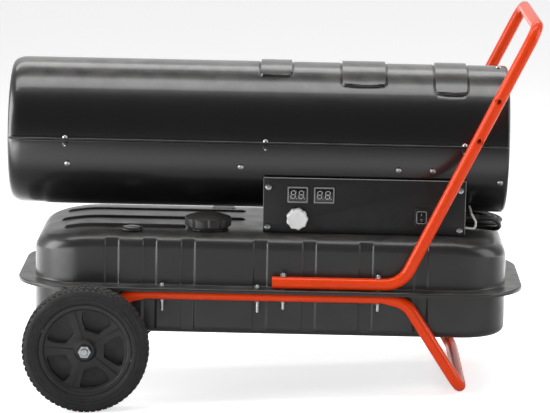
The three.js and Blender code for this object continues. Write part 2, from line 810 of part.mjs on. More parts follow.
function makeFiller() {
  const place = [capPlace.x, capPlace.y, 0];
  const seat = tankTop + touch;
  const neck = turned([
    [neckRadius - 5, seat - 14], [neckRadius - 4 - touch, seat - 14],
    [neckRadius - 4 - touch, seat], [neckRadius + 4, seat], [neckRadius + 4, seat + 2],
    [neckRadius, seat + 3], [neckRadius, seat + neckHeight], [neckRadius - 5, seat + neckHeight],
  ], 'z', neckFacets, place);
  add('filler_neck', shape(neck), 'black');

  const rim = seat + neckHeight + touch;
  const strainer = turned([
    [0, seat - 62], [17, seat - 62], [neckRadius - 5 - touch, seat - 4],
    [neckRadius - 5 - touch, rim], [neckRadius - 1, rim], [neckRadius - 1, rim + 1.2],
    [neckRadius - 7, rim + 1.2], [neckRadius - 7, seat - 4], [15.8, seat - 60.5],
    [0, seat - 60.5],
  ], 'z', neckFacets, place);
  add('fuel_strainer', shape(strainer), 'grey');

  const insertTop = rim + 1.2 + touch + 4;
  const insert = turned([
    [0, insertTop - 4], [neckRadius - 3, insertTop - 4], [neckRadius - 3, insertTop],
    [0, insertTop],
  ], 'z', neckFacets, place);
  add('cap_seal', shape(insert), 'rubber');

  const skirt = new THREE.Shape();
  const steps = capLobes * 4;
  for (let i = 0; i < steps; i += 1) {
    const angle = i * 2 * Math.PI / steps;
    const radius = capRadius - 1.4 + 1.4 * Math.cos(capLobes * angle);
    const point = [radius * Math.cos(angle), radius * Math.sin(angle)];
    if (i === 0) skirt.moveTo(...point);
    else skirt.lineTo(...point);
  }
  const skirtLow = seat + capClearance;
  const capTop = skirtLow + capHeight;
  const outside = plate(skirt, 'xy', capHeight, skirtLow).translate(place);
  const crown = turned([
    [0, capTop - 2], [14, capTop - 2], [13, capTop + 4], [0, capTop + 4],
  ], 'z', neckFacets, place);
  const hollow = join(
    rod(neckRadius + 2, skirtLow - 1, rim + 2, 'z', neckFacets, place),
    rod(neckRadius - 1.5, rim, insertTop + touch, 'z', neckFacets, place));
  add('fuel_cap', shape(outside.add(crown).subtract(hollow)), 'black');
}

function makeGauge() {
  const place = [gaugePlace.x, gaugePlace.y, 0];
  const seat = tankTop + touch;
  const stem = gaugeRadius - 5 - touch;
  const pivot = seat - 40;
  let body = turned([
    [0, seat - 12], [stem, seat - 12], [stem, seat], [gaugeRadius, seat],
    [gaugeRadius, seat + 6], [gaugeRadius - 2.5, seat + 8], [gaugeRadius - 4, seat + 6],
    [gaugeRadius - 4, seat + 2], [0, seat + 2],
  ], 'z', 20, place);
  const bar = block(-4, 4, -9, -5.5, pivot - 8, seat - 11).translate(gaugePlace.x, gaugePlace.y, 0);
  const pin = rod(1.5, -6, 5, 'y', 10, [gaugePlace.x, gaugePlace.y, pivot]);
  body = join(body, bar, pin);
  add('fuel_gauge', shape(body), 'black');

  const needle = join(
    block(-1.2, 1.2, -10, 11, 0, 1.2),
    rod(3, 0, 1.8, 'z', 10)).translate([gaugePlace.x, gaugePlace.y, seat + 2 + touch]);
  add('gauge_needle', shape(needle), 'orange');

  const eye = cut(
    join(rod(5, -3, 3, 'y', 14), block(0, floatArm, -1.2, 1.2, -1.2, 1.2)),
    rod(1.5 + bearingPlay, -4, 4, 'y', 10));
  const float = rod(13, -15, 15, 'y', 16, [floatArm, 0, 0]);
  const arm = eye.add(float).rotate([0, floatFall, 0])
    .translate([gaugePlace.x, gaugePlace.y, pivot]);
  add('float_arm', shape(arm), 'brass');
}

// ----------------------------------------------------------------------- control panel

const panelBack = panelFront + sheet;
const panelRight = panelLeft + panelWidth;
const boxBack = panelBack + touch + boxDepth;
const boxFloor = tankTop + touch;

// The side of the control box: its upper edge follows the barrel.
function boxSide(start) {
  const reach = barrelRadius + touch + 0.5;
  const front = panelBack + touch;
  const height = (y) => -Math.sqrt(reach * reach - y * y);
  const points = [[front, boxFloor], [boxBack, boxFloor]];
  for (let i = 0; i <= 6; i += 1) {
    const y = boxBack + (front + 2 - boxBack) * i / 6;
    points.push([y, height(y) - 0.6]);
  }
  points.push([front, panelTop - 2]);
  return plate(outlineOf(points), 'yz', sheet, start);
}

function makeControlBox() {
  const front = panelBack + touch;
  const left = panelLeft + 2;
  const right = panelRight - 2;
  const backTop = -Math.sqrt((barrelRadius + 1) ** 2 - boxBack ** 2) - 1.5;
  const tab = (x0, x1) => block(x0, x1, front, front + sheet, boxFloor, panelTop - 6);
  const cable = rod(6.3, right - 5, right + 5, 'x', 12, [0, strainPlace.y, strainPlace.z]);
  const box = join(
    block(left, right, front, boxBack, boxFloor, boxFloor + sheet),
    block(left, right, boxBack - sheet, boxBack, boxFloor, backTop),
    boxSide(left), boxSide(right - sheet),
    tab(left, left + 14), tab(right - 14, right));
  add('control_box', shape(box.subtract(cable)), 'satin');

  const windows = displayPlaces.map((x) => block(
    x - displaySize.width / 2 - touch, x + displaySize.width / 2 + touch,
    panelFront - 5, panelBack + 5,
    displayHeight - displaySize.height / 2 - touch,
    displayHeight + displaySize.height / 2 + touch));
  const spindle = rod(4, -5, 5, 'y', 14, [knobPlace.x, panelFront, knobPlace.z]);
  const rocker = block(switchPlace.x - 10, switchPlace.x + 10, panelFront - 5, panelBack + 5,
    switchPlace.z - 13.2, switchPlace.z + 13.2);
  const sheetFront = block(panelLeft, panelRight, panelFront, panelBack,
    panelTop - panelHeight, panelTop);
  add('control_panel', shape(cut(sheetFront, ...windows, spindle, rocker)), 'panel');
}

function makeControls() {
  const names = ['left', 'right'];
  displayPlaces.forEach((x, index) => {
    const { width, height, depth } = displaySize;
    const body = block(x - width / 2, x + width / 2, panelFront - 1.2, panelFront + depth,
      displayHeight - height / 2, displayHeight + height / 2);
    const glass = block(x - width / 2 + 3, x + width / 2 - 3, panelFront - 2, panelFront - 0.4,
      displayHeight - height / 2 + 4, displayHeight + height / 2 - 4);
    add(`display_${names[index]}`, shape(body.subtract(glass)), 'black');
  });

  const pot = join(
    rod(12, panelBack + touch, panelBack + 18, 'y', 20, [knobPlace.x, 0, knobPlace.z]),
    rod(3.6, panelFront - 3, panelBack + 2, 'y', 14, [knobPlace.x, 0, knobPlace.z]));
  add('thermostat', shape(pot), 'steel');

  const grip = new THREE.Shape();
  const steps = knobLobes * 4;
  for (let i = 0; i < steps; i += 1) {
    const angle = i * 2 * Math.PI / steps;
    const radius = knobRadius - 1 + Math.cos(knobLobes * angle);
    const point = [radius * Math.cos(angle), radius * Math.sin(angle)];
    if (i === 0) grip.moveTo(...point);
    else grip.lineTo(...point);
  }
  const knobDepth = 15;
  const place = [knobPlace.x, 0, knobPlace.z];
  const knob = join(
    plate(grip, 'xz', knobDepth - 2, 0).translate([knobPlace.x, panelFront - touch, knobPlace.z]),
    rod(knobRadius - 3, panelFront - knobDepth, panelFront - 3, 'y', 30, place));
  const socket = rod(3.6 + touch, panelFront - 4, panelFront + 1, 'y', 14, place);
  const mark = block(-1, 1, panelFront - knobDepth - 1, panelFront - knobDepth + 0.8, 5, 14)
    .translate([knobPlace.x, 0, knobPlace.z]);
  add('thermostat_knob', shape(cut(knob, socket, mark)), 'grey');

  const [x, z] = [switchPlace.x, switchPlace.z];
  const bezel = join(
    block(x - 11.5, x + 11.5, panelFront - 2, panelFront - touch, z - 15, z + 15),
    block(x - 9.6, x + 9.6, panelFront - 1, panelBack + 20, z - 12.8, z + 12.8));
  const well = block(x - 7.4, x + 7.4, panelFront - 3, panelBack + 10, z - 11, z + 11);
  add('switch_body', shape(bezel.subtract(well)), 'black');

  const wedge = outlineOf([
    [panelFront - 4.6, z - 9.8], [panelFront - 1.6, z], [panelFront - 0.6, z + 9.8],
    [panelFront + 3.4, z + 9.8], [panelFront + 6, z], [panelFront + 0.4, z - 9.8],
  ]);
  add('switch_rocker', shape(plate(wedge, 'yz', 13.6, x - 6.8)), 'black');

  const floor = boxFloor + sheet + touch;
  const board = join(
    block(130, 240, panelBack + 12, panelBack + 13.6, floor, floor + 62),
    block(150, 172, panelBack + 3, panelBack + 12.2, floor + 24, floor + 44),
    block(190, 222, panelBack + 5, panelBack + 12.2, floor + 10, floor + 24));
  add('control_board', shape(board), 'board');

  const coilBack = panelBack + 38;
  const transformer = join(
    block(172, 232, coilBack - 22, coilBack, floor, floor + 26),
    rod(4, 231, 244, 'x', 12, [0, coilBack - 11, floor + 13]));
  add('ignition_transformer', shape(transformer), 'black');
}

// -------------------------------------------------------------------- barrel supports

// A sheet saddle between the tank's top and the barrel.
function makeSaddles() {
  const names = ['front', 'rear'];
  const reach = barrelRadius + touch;
  const edge = Math.asin(saddleReach / reach);
  const outline = new THREE.Shape();
  outline.absarc(0, 0, reach, -Math.PI / 2 - edge, -Math.PI / 2 + edge, false);
  outline.lineTo(saddleReach, tankTop + touch);
  outline.lineTo(saddleReach - 16, tankTop + touch);
  outline.lineTo(saddleReach - 16, tankTop + touch + 2);
  outline.lineTo(saddleReach - 2, tankTop + touch + 2);
  const inner = Math.asin((saddleReach - 2) / (reach + 2));
  outline.absarc(0, 0, reach + 2, -Math.PI / 2 + inner, -Math.PI / 2 - inner, true);
  outline.lineTo(-saddleReach + 2, tankTop + touch + 2);
  outline.lineTo(-saddleReach + 16, tankTop + touch + 2);
  outline.lineTo(-saddleReach + 16, tankTop + touch);
  outline.lineTo(-saddleReach, tankTop + touch);
  saddlePlaces.forEach((place, index) => {
    const saddle = plate(outline, 'yz', saddleWidth, place - saddleWidth / 2, 5);
    add(`barrel_saddle_${names[index]}`, shape(saddle), 'satin');
  });
}

// ----------------------------------------------------------- frame, handle and wheels

// The holes for the flange bolts go through the tubes and both flanges.
function boltHoles(places, low, high) {
  const holes = [];
  for (const x of places) {
    for (const side of [-1, 1]) {
      holes.push(rod(boltRadius + touch, low, high, 'z', 6, [x, side * trackHalf, 0]));
    }
  }
  return holes;
}

function makeFrame() {
  const y = trackHalf;
  const corners = [
    [axlePlace.x, -y, axlePlace.z], [frameBend.x, -y, frameHeight],
    [legBend.x, -y, frameHeight], [legFoot.x, -y, legFoot.z],
    [legFoot.x, y, legFoot.z], [legBend.x, y, frameHeight],
    [frameBend.x, y, frameHeight], [axlePlace.x, y, axlePlace.z],
  ];
  const radii = [frameBend.radius, legBend.radius, footRadius,
    footRadius, legBend.radius, frameBend.radius];
  let frame = solid(bentTube(corners, radii, 3, tubeRadius, tubeSides));
  for (const side of [-1, 1]) {
    const boss = rod(axleRadius + 7, -tubeRadius, tubeRadius, 'y', axleFacets,
      [axlePlace.x, side * y, axlePlace.z]);
    frame = frame.add(boss);
  }
  const bore = rod(axleRadius + touch, -y - 20, y + 20, 'y', axleFacets,
    [axlePlace.x, 0, axlePlace.z]);
  const all = [...frameBolts, ...handleBolts];
  const holes = boltHoles(all, frameHeight - 20, frameHeight + 20);
  add('wheel_frame', shape(cut(frame, bore, ...holes)), 'orange');
}

function makeHandle() {
  const y = trackHalf;
  const corners = [
    [handleStart, -y, handleHeight], [handleBend.x, -y, handleHeight],
    [handleTop.x, -y, handleTop.z], [handleTop.x, y, handleTop.z],
    [handleBend.x, y, handleHeight], [handleStart, y, handleHeight],
  ];
  const radii = [handleBend.radius, handleCorner, handleCorner, handleBend.radius];
  const handle = solid(bentTube(corners, radii, 4, tubeRadius, tubeSides));
  const holes = boltHoles(handleBolts, handleHeight - 20, handleHeight + 20);
  add('handle', shape(cut(handle, ...holes)), 'orange');
}

// Bolts through the flange: the long ones also hold the handle down.
function makeBolts() {
  const sides = { near: -1, far: 1 };
  const under = frameHeight - tubeRadius - touch;
  for (const [label, side] of Object.entries(sides)) {
    const bolt = (name, x, top) => {
      const place = [x, side * trackHalf, 0];
      const body = join(
        rod(boltRadius, under - 12, top + 1, 'z', 6, place),
        rod(boltHead, top + touch, top + 4, 'z', 6, place),
        rod(boltHead, under - 5, under, 'z', 6, place));
      add(name, shape(body), 'zinc');
    };
    frameBolts.forEach((x, index) => bolt(`flange_bolt_${label}_${index + 1}`, x, flangeTop));
    handleBolts.forEach((x, index) => bolt(`handle_bolt_${label}_${index + 1}`, x,
      handleHeight + tubeRadius));
  }
}

function makeWheels() {
  const outer = wheelInner + wheelWidth;
  const axle = rod(axleRadius, -outer - 3, outer + 3, 'y', axleFacets,
    [axlePlace.x, 0, axlePlace.z]);
  add('axle', shape(axle), 'steel');

  const sides = { near: -1, far: 1 };
  for (const [label, side] of Object.entries(sides)) {
    const wheel = new THREE.Group();
    wheel.position.set(axlePlace.x, side * wheelInner, axlePlace.z);
    wheel.rotation.z = side < 0 ? Math.PI : 0;
    heater.add(wheel);
    add(`tyre_${label}`, shape(tyreSolid()), 'rubber', wheel);
    add(`wheel_hub_${label}`, shape(hubSolid()), 'black', wheel);
    const nut = cut(
      join(rod(10.5, wheelWidth + touch, wheelWidth + 8, 'y', 6),
        rod(6, wheelWidth + 7, wheelWidth + 10, 'y', axleFacets)),
      rod(axleRadius + touch, wheelWidth - 1, wheelWidth + 3 + touch, 'y', axleFacets));
    add(`axle_nut_${label}`, shape(nut), 'zinc', wheel);
  }
}

// The tyre, with its inner face at zero and its outer face at the wheel's width.
function tyreSolid() {
  const width = wheelWidth;
  const seat = (rimRadius + touch) / Math.cos(Math.PI / tyreFacets);
  const outline = [
    [seat, 4], [rimRadius + 5, 0], [wheelRadius - 7, 0.5],
    [wheelRadius, 8], [wheelRadius, width - 8], [wheelRadius - 7, width - 0.5],
    [rimRadius + 5, width], [seat, width - 4],
  ];
  return turned(outline, 'y', tyreFacets);
}

// The moulded hub: a rim, a centre boss and five pockets in a web.
function hubSolid() {
  const width = wheelWidth;
  const body = turned([
    [hubBore, 0], [17, 0], [17, 8], [rimRadius - 7, 4], [rimRadius, 4],
    [rimRadius, width - 4], [rimRadius - 8, width - 7], [17, width - 7],
    [13, width], [hubBore, width],
  ], 'y', hubFacets);
  let hub = body;
  for (let i = 0; i < 5; i += 1) {
    const pocket = pocketOutline();
    const recess = plate(pocket, 'xz', 20, -width - 1, 2).rotate([0, i * 72, 0]);
    hub = hub.subtract(recess);
  }
  return hub;
}

// A pocket: a keystone with rounded corners, pointing at the hub's centre.
function pocketOutline() {
  const pocket = new THREE.Shape();
  const corners = [[31, -11], [60, -27], [66, 0], [60, 27], [31, 11]];
  const round = 5;
  const at = (i) => new THREE.Vector2(...corners[(i + corners.length) % corners.length]);
  corners.forEach((_, i) => {
    const here = at(i);
    const before = here.clone().sub(at(i - 1)).setLength(round);
    const after = at(i + 1).sub(here).setLength(round);
    const start = here.clone().sub(before);
    const end = here.clone().add(after);
    if (i === 0) pocket.moveTo(start.x, start.y);
    else pocket.lineTo(start.x, start.y);
    pocket.quadraticCurveTo(here.x, here.y, end.x, end.y);
  });
  return pocket;
}

// ---------------------------------------------------------------------- mains cord

const cordRadius = cordDiameter / 2;
const loopPitch = cordDiameter + loopGap;
const coilOuter = coilRadius + loopPitch * layerTurns / 2;
const coilY = strainPlace.y + 2 * cordBend + coilOuter;
const cordExit = panelRight - 2 + touch + strainLength;

// How high the cord's middle lies on the tank's top.
const cordRest = (x) => tankTop - droop(x) + touch + loopGap / 2 + cordRadius;

// The coil: its loops wind inwards on the tank, climb, and wind outwards one layer up.
class CoilPath extends THREE.Curve {
  constructor() {
    super();
    this.turns = 2 * layerTurns;
    this.straight = cordDiameter;
    this.loops = this.turns * 2 * Math.PI * coilRadius;
    this.length = this.straight + this.loops + cordTail;
  }

  getUtoTmapping(u) {
    return u;
  }

  getPoint(t) {
    const along = t * this.length - this.straight;
    const turn = THREE.MathUtils.clamp(along / this.loops, 0, 1) * this.turns;
    const radius = coilOuter - loopPitch * Math.min(turn, this.turns - turn);
    const angle = -Math.PI / 2 - turn * 2 * Math.PI;
    const beyond = along < 0 ? along : Math.max(0, along - this.loops);
    const x = coilX + radius * Math.cos(angle) - beyond;
    const y = coilY + radius * Math.sin(angle);
    const climb = THREE.MathUtils.smoothstep(turn, layerTurns - 0.25, layerTurns + 0.25);
    return new THREE.Vector3(x, y, cordRest(x) + climb * loopPitch);
  }
}

// The least gap between parts of the coil that are not neighbours along the cord.
function leastGap(path, steps) {
  const points = path.getSpacedPoints(steps);
  const apart = Math.ceil(steps / path.turns / 2);
  let least = Infinity;
  for (let i = 0; i < points.length; i += 1) {
    for (let j = i + apart; j < points.length; j += 1) {
      least = Math.min(least, points[i].distanceTo(points[j]));
    }
  }
  return least - cordDiameter;
}

function makeCord() {
  const side = panelRight - 2;
  const relief = turned([
    [0, side - sheet - 4], [strainRadius - touch - 0.4, side - sheet - 4],
    [strainRadius - touch - 0.4, side + touch], [strainRadius + 2, side + touch],
    [strainRadius + 2, side + touch + 3], [strainRadius, side + touch + 3],
    [cordRadius + 1, cordExit], [0, cordExit],
  ], 'x', 14, [0, strainPlace.y, strainPlace.z]);
  add('strain_relief', shape(relief), 'rubber');

  const turnX = cordExit + touch + cordStraight;
  const drop = strainPlace.z - cordRest(turnX);
  const places = [
    new THREE.Vector3(cordExit + touch, strainPlace.y, strainPlace.z),
    new THREE.Vector3(turnX, strainPlace.y, strainPlace.z - 0.02 * drop)];
  for (let i = 1; i <= 8; i += 1) {
    const angle = -Math.PI / 2 + Math.PI * i / 8;
    const x = turnX + cordBend * Math.cos(angle);
    const fall = THREE.MathUtils.smoothstep(i, 0, 6.5);
    const level = strainPlace.z + (cordRest(x) - strainPlace.z) * fall;
    places.push(new THREE.Vector3(
      x, strainPlace.y + cordBend * (1 + Math.sin(angle)), level));
  }
  const start = new CoilPath().getPoint(0);
  places.push(new THREE.Vector3(start.x + touch, start.y, start.z));
  const route = new THREE.CatmullRomCurve3(places);
  add('cord_tube', tube(route, 16, cordRadius, 8), 'rubber');

  const path = new CoilPath();
  const steps = path.turns * 18 + 2;
  add('cord_coil', tube(path, steps, cordRadius, 6), 'rubber');
  console.log(`least gap in the coil: ${leastGap(path, steps).toFixed(2)} mm`);

  const end = path.getPoint(1);
  const { sleeve, length, width, height, pin } = plugSize;
  const tip = end.x - touch;
  const level = tankTop + touch + height / 2;
  const neck = turned([
    [0, tip - sleeve - 1], [7, tip - sleeve - 1], [cordRadius + 1, tip], [0, tip],
  ], 'x', 12, [0, end.y, end.z]);
  const body = outlineOf([
    [-width / 2, -height / 2 + 5], [-width / 2 + 5, -height / 2],
    [width / 2 - 5, -height / 2], [width / 2, -height / 2 + 5],
    [width / 2, height / 2 - 5], [width / 2 - 5, height / 2],
    [-width / 2 + 5, height / 2], [-width / 2, height / 2 - 5],
  ]);
  const face = tip - sleeve - length;
  let plug = neck.add(plate(body, 'yz', length, face).translate([0, end.y, level]));
  for (const across of [-6.4, 6.4]) {
    plug = plug.add(block(face - pin, face + 1, end.y + across - 0.8, end.y + across + 0.8,
      level - 1.2, level + 5.2));
  }
  plug = plug.add(rod(2.4, face - pin - 2, face + 1, 'x', 10, [0, end.y, level - 5]));
  add('mains_plug', shape(plug), 'rubber');
}

// The fuel hose leaves the control box, bends back and runs up to the barrel.
function makeHose() {
  const side = panelRight - 2 + touch;
  const y = panelFront + 10;
  const low = boxFloor + 12.2;
  const last = -Math.sqrt(barrelRadius ** 2 - (y + 6) ** 2) - 1.4;
  const corners = [
    [side, y, low], [side + 22, y, low - 1], [side + 22, y + 1, low + 8],
    [side + 13, y + 4, low + 19], [side + 13, y + 6, last],
  ];
  add('fuel_hose', bentTube(corners, [6, 5, 5], 3, hoseRadius, 6), 'grey');
}

// ------------------------------------------------------------------------- assembly

makeShells();
makeChamber();
makeBurnerHead();
makeMotor();
makePump();
makeGuard();
makeTank();
makeFiller();
makeGauge();
makeControlBox();
makeControls();
makeSaddles();
makeFrame();
makeHandle();
makeBolts();
makeWheels();
makeCord();
makeHose();

// The heater stands on its two wheels and on the ground bar of its frame.
const legRun = legFoot.x - axlePlace.x;
const legDrop = legFoot.z - axlePlace.z;
heater.rotation.y = Math.asin((wheelRadius - tubeRadius) / Math.hypot(legRun, legDrop))
  - Math.atan2(-legDrop, legRun);

const stand = new THREE.Group();
stand.add(heater);
stand.updateMatrixWorld(true);
const cordNames = ['strain_relief', 'cord_tube', 'cord_coil', 'mains_plug'];
const extent = new THREE.Box3();
for (const [name, mesh] of pieces) {
  if (!cordNames.includes(name)) extent.expandByObject(mesh, true);
}
const middle = extent.getCenter(new THREE.Vector3());
heater.position.set(-middle.x, -middle.y, -extent.min.z);

export default stand;
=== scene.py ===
"""A forced air heater on two wheels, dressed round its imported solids.

Every size below is in millimetres in the heater's own frame: X runs along the barrel
from the hot outlet to the fan, Z is up, the control panel faces -Y and the origin lies
on the barrel's axis. settle() lays each finished mesh into the frame's metres.
"""

import json
import math

import bpy
from bpy.props import FloatProperty, FloatVectorProperty, IntProperty, PointerProperty
from mathutils import Matrix, Vector


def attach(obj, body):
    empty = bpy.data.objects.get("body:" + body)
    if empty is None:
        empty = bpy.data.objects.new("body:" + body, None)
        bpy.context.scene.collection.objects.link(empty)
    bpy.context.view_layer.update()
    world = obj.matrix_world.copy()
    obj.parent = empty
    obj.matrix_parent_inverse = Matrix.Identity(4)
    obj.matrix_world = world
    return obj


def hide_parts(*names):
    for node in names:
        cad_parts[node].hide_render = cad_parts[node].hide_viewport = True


bl_info = {
    "name": "Forced air heater",
    "version": (1, 0, 0),
    "blender": (4, 5, 0),
    "location": "3D View > Sidebar > Heater",
    "description": "Builds the shown pieces of a wheeled forced air heater and its stage",
    "category": "Object",
}

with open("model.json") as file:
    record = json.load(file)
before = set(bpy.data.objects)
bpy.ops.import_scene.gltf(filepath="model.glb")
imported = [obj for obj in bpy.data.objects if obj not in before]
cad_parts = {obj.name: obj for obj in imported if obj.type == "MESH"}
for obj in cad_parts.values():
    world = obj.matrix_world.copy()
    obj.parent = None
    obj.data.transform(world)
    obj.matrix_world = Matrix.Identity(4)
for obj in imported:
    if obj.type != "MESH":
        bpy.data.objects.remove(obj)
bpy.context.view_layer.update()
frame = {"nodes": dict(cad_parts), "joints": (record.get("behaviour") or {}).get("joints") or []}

MM = 0.001

# ------------------------------------------------------------------ places and sizes

FAN_MIDDLE = 238.0
BARREL_HALF = 412.5
OUTLET_CURL = 12.0
OUTLET_RUN = 23.0
INLET_CURL = 5.0
SHEET = 1.5
SEAM = 3.15
SEAM_LIP = (121.6, 131.4)            # from and to, out from the barrel's axis
SEAM_GAP = 0.3                       # between the seam's upper and lower lips
SEAM_SCREW_OUT = 127.4
PAD_CORNER = 9.0
PAD_GROOVE = 1.0
PADS = ((27, 53, 59.5), (172, 73, 50.4), (316, 54, 43.8))   # middle, width, lower edge
SEAM_SCREWS = (-316.6, 12, 338)
SIDE_SCREWS = ((-313, 18), (-28, 18), (231.5, 18), (287.4, 18), (398.7, 27.6))
TOP_SCREW = (396, -96, 1)

TANK_MIDDLE = 23.5
TANK_HALF = (390.5, 156.0)
TANK_CORNER = 77.0
TANK_TOP = -146.5
TANK_BOTTOM = -310.5
TANK_EDGE = 12.0                     # the bend round the tank's floor
TANK_SHOULDER = 19.0                 # the wider bend round the tank's top
TANK_DROOP = (18.0, 105.0)          # fall at the ends, and over what length
TANK_CROWN = (4.0, 92.0, 148.0)     # fall at the sides, where it starts and where it ends
FLANGE_TOP = -230.3
FLANGE_WIDTH = 28.0
FLANGE_EDGE = 2.4
FLANGE_ROOT = 3.0                    # the bend between the flange and the wall
FLUTES = (-236, -174, -111, 7.6, 87.6, 181, 271.4)
FLUTE_WIDTH = 22.0
BEADS = ((-78, -322, -116), (0, -332, -20), (78, -328, -20))

CAP_PLACE = (-81, -90)
GAUGE_PLACE = (-206, -114)
BOSS_PLACE = (-60, 104)
DRAIN_PLACE = 300

PANEL = (10, 343, -145.5, -54.5)    # left, right, low, high
PANEL_FRONT = -114.0
PANEL_SCREWS = ((18.2, -70.4), (17.6, -137.3), (334.3, -70.3), (334.1, -137))
DISPLAYS = (("display_left", 66.5), ("display_right", 110))
DISPLAY_HEIGHT = -82.5
KNOB_PLACE = (66.3, -122)
SWITCH_PLACE = (270.8, -115.5)

TUBE_SPAN = 169.0
FRAME_LEVEL = -244.5
HANDLE_LEVEL = -219.5
FRAME_PATH = ((-274, -328.2), (-209, FRAME_LEVEL), (244.5, FRAME_LEVEL), (340.5, -391))
FRAME_BENDS = (36, 46, 28)
RAIL_FLAT = (-196, -176, 206, 226)   # where the rails begin and end to be pressed flat
HANDLE_PATH = ((27.5, HANDLE_LEVEL), (239, HANDLE_LEVEL), (448, 207.6))
HANDLE_BENDS = (46, 30)
GRIP_HOLES = ((388.5, 87.1), (358.8, 22.1))
FLANGE_BOLTS = (-152, 4)
HANDLE_BOLTS = (46, 201)

AXLE = (-274, -328.2)
SIDES = (("near", -1), ("far", 1))
WHEEL_INNER = 187.0
WHEEL_WIDTH = 41.0

BURNER_SEAT = 194.3
MOTOR_REAR = 352.0
GUARD_PLACE = 404.0
CHAMBER = (-372, 110)

STRAIN = (-88, -118)
CORD_EXIT = 366.3
CORD_BEND = 28.0
COIL_X = 360.0
COIL_RADIUS = 40.0
COIL_TURNS = 6
LOOP_PITCH = 7.9
CORD_TAIL = 33.0

FLOOR_RUN = (-3.2, 0.6)              # metres: where the floor's painted reflection (painted shade near the heater) starts and ends
# Levels of the floor as seen in reflections only: painted shadow near the heater, painted light
# further out
FLOOR_PAINTED_REFLECTION = ((-3.2, 0.1), (-1.7, 0.3), (-1.1, 0.44), (-0.75, 0.6), (-0.58, 0.62),
                (-0.46, 0.45), (-0.36, 0.24), (-0.2, 0.2), (0.15, 0.5), (0.6, 1.0))
SIDE_PAINTED_LIGHT = 9.0                     # painted light: how much brighter the floor's left side shows in reflections
BACK_PAINTED_LIGHT = 1.3                     # and painted light on the floor behind the heater, in reflections
FLOOR_GLOW = 0.62


def linear(code):
    """The linear colour of a written colour such as 0x3A3B3B."""
    out = []
    for bits in (16, 8, 0):
        value = ((code >> bits) & 255) / 255
        out.append(value / 12.92 if value <= 0.04045 else ((value + 0.055) / 1.055) ** 2.4)
    return tuple(out)


def colour(label, about, code):
    return FloatVectorProperty(name=label, description=about, default=linear(code),
                               subtype="COLOR", min=0, max=1)


def length(label, about, millimetres):
    return FloatProperty(name=label, description=about, default=millimetres * MM,
                         unit="LENGTH", subtype="DISTANCE", min=0)


class HeaterSizes(bpy.types.PropertyGroup):
    """Sizes that give the heater's pieces their form."""
    barrel: length("Barrel radius", "Outer radius of the pressed barrel", 122.5)
    pad_rise: length("Band height", "How far the pressed bands stand above the barrel", 3.3)
    bead_rise: length("Bead height", "How far the beads stand above the tank", 3.2)
    flute_depth: length("Flute depth", "How deep the upright flutes are pressed", 2.0)
    tube: length("Tube radius", "Outer radius of the frame and handle tubes", 10.1)
    tyre: length("Tyre radius", "Outer radius of the two wheels", 103.5)
    cap: length("Cap radius", "Outer radius of the filler cap", 38.5)
    gauge: length("Gauge radius", "Outer radius of the fuel gauge", 18.5)
    knob: length("Knob radius", "Outer radius of the thermostat knob", 18.3)
    cord: length("Cord diameter", "Diameter of the mains lead", 7.0)
    cap_lobes: IntProperty(name="Cap lobes", description="Grip lobes round the cap",
                           default=10, min=3, max=24)
    knob_lobes: IntProperty(name="Knob lobes", description="Grip lobes round the knob",
                            default=9, min=3, max=24)
    treads: IntProperty(name="Tread blocks", description="Blocks round each tyre",
                        default=64, min=12, max=120)


class HeaterColours(bpy.types.PropertyGroup):
    """Colours of the heater's finishes."""
    barrel: colour("Barrel", "Gloss enamel of the barrel", 0x0B0B0C)
    tank: colour("Tank", "Satin paint of the tank", 0x292929)
    panel: colour("Panel", "Textured paint of the control panel", 0x131314)
    tubes: colour("Tubes", "Gloss paint of the frame and handle", 0xDE3C02)
    rubber: colour("Rubber", "Tyres, cord and seals", 0x262626)
    plastic: colour("Plastic", "Cap, hubs, gauge and switch", 0x161616)
    knob: colour("Knob", "Moulded knob of the thermostat", 0xDCDDDC)
    zinc: colour("Zinc", "Plated nuts, bolts and screws", 0xB9BCBE)
    steel: colour("Steel", "Bare sheet and turned steel", 0x9A9C9E)
    burnt: colour("Burnt steel", "The heat-stained combustion chamber", 0x6F6A66)


class HeaterStage(bpy.types.PropertyGroup):
    """The camera and the light round the heater."""
    place: FloatVectorProperty(name="Camera place", description="Where the camera stands",
                               default=(0.0803, -4.9788, 1.1705), subtype="TRANSLATION",
                               unit="LENGTH")
    ahead: FloatVectorProperty(name="Camera heading", description="The way it looks",
                               default=(-0.01645, 0.98471, -0.17351), subtype="DIRECTION")
    across: FloatVectorProperty(name="Camera right", description="Its right-hand side",
                                default=(0.99949, 0.01145, -0.02978), subtype="DIRECTION")
    lens: FloatProperty(name="Lens", description="Focal length for a 36 mm wide frame",
                        default=196.4, min=20, unit="CAMERA")
    floor: colour("Floor", "The pale floor under the heater", 0xF4F4F4)


def sizes():
    return bpy.context.scene.heater_sizes


def tints():
    return bpy.context.scene.heater_colours


def in_mm(value):
    return value / MM


# ----------------------------------------------------------------- placing the meshes

def heater_matrix():
    """From the heater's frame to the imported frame, taken from the fan's joint."""
    spin = next(joint for joint in frame["joints"] if joint["name"] == "fan_spin")
    along = Vector(spin["axis"]).normalized()
    side = Vector((0, 1, 0))
    origin = Vector(spin["pos_m"]) - along * FAN_MIDDLE * MM
    turn = Matrix((along, side, along.cross(side))).transposed().to_4x4()
    return Matrix.Translation(origin) @ turn


TO_WORLD = heater_matrix() @ Matrix.Scale(MM, 4)
AXES = {
    "x": Matrix(((0, 0, 1, 0), (1, 0, 0, 0), (0, 1, 0, 0), (0, 0, 0, 1))),
    "y": Matrix(((0, 1, 0, 0), (0, 0, 1, 0), (1, 0, 0, 0), (0, 0, 0, 1))),
    "z": Matrix(),
}


def shift(x, y=0.0, z=0.0):
    return Matrix.Translation((x, y, z))


def rolled(degrees, axis):
    return Matrix.Rotation(math.radians(degrees), 4, axis)


def outwards(x, y, z, side):
    """Turns a form that points up to point out at one side, and sets it at a place."""
    return shift(x, y, z) @ rolled(-90 * side, "X")


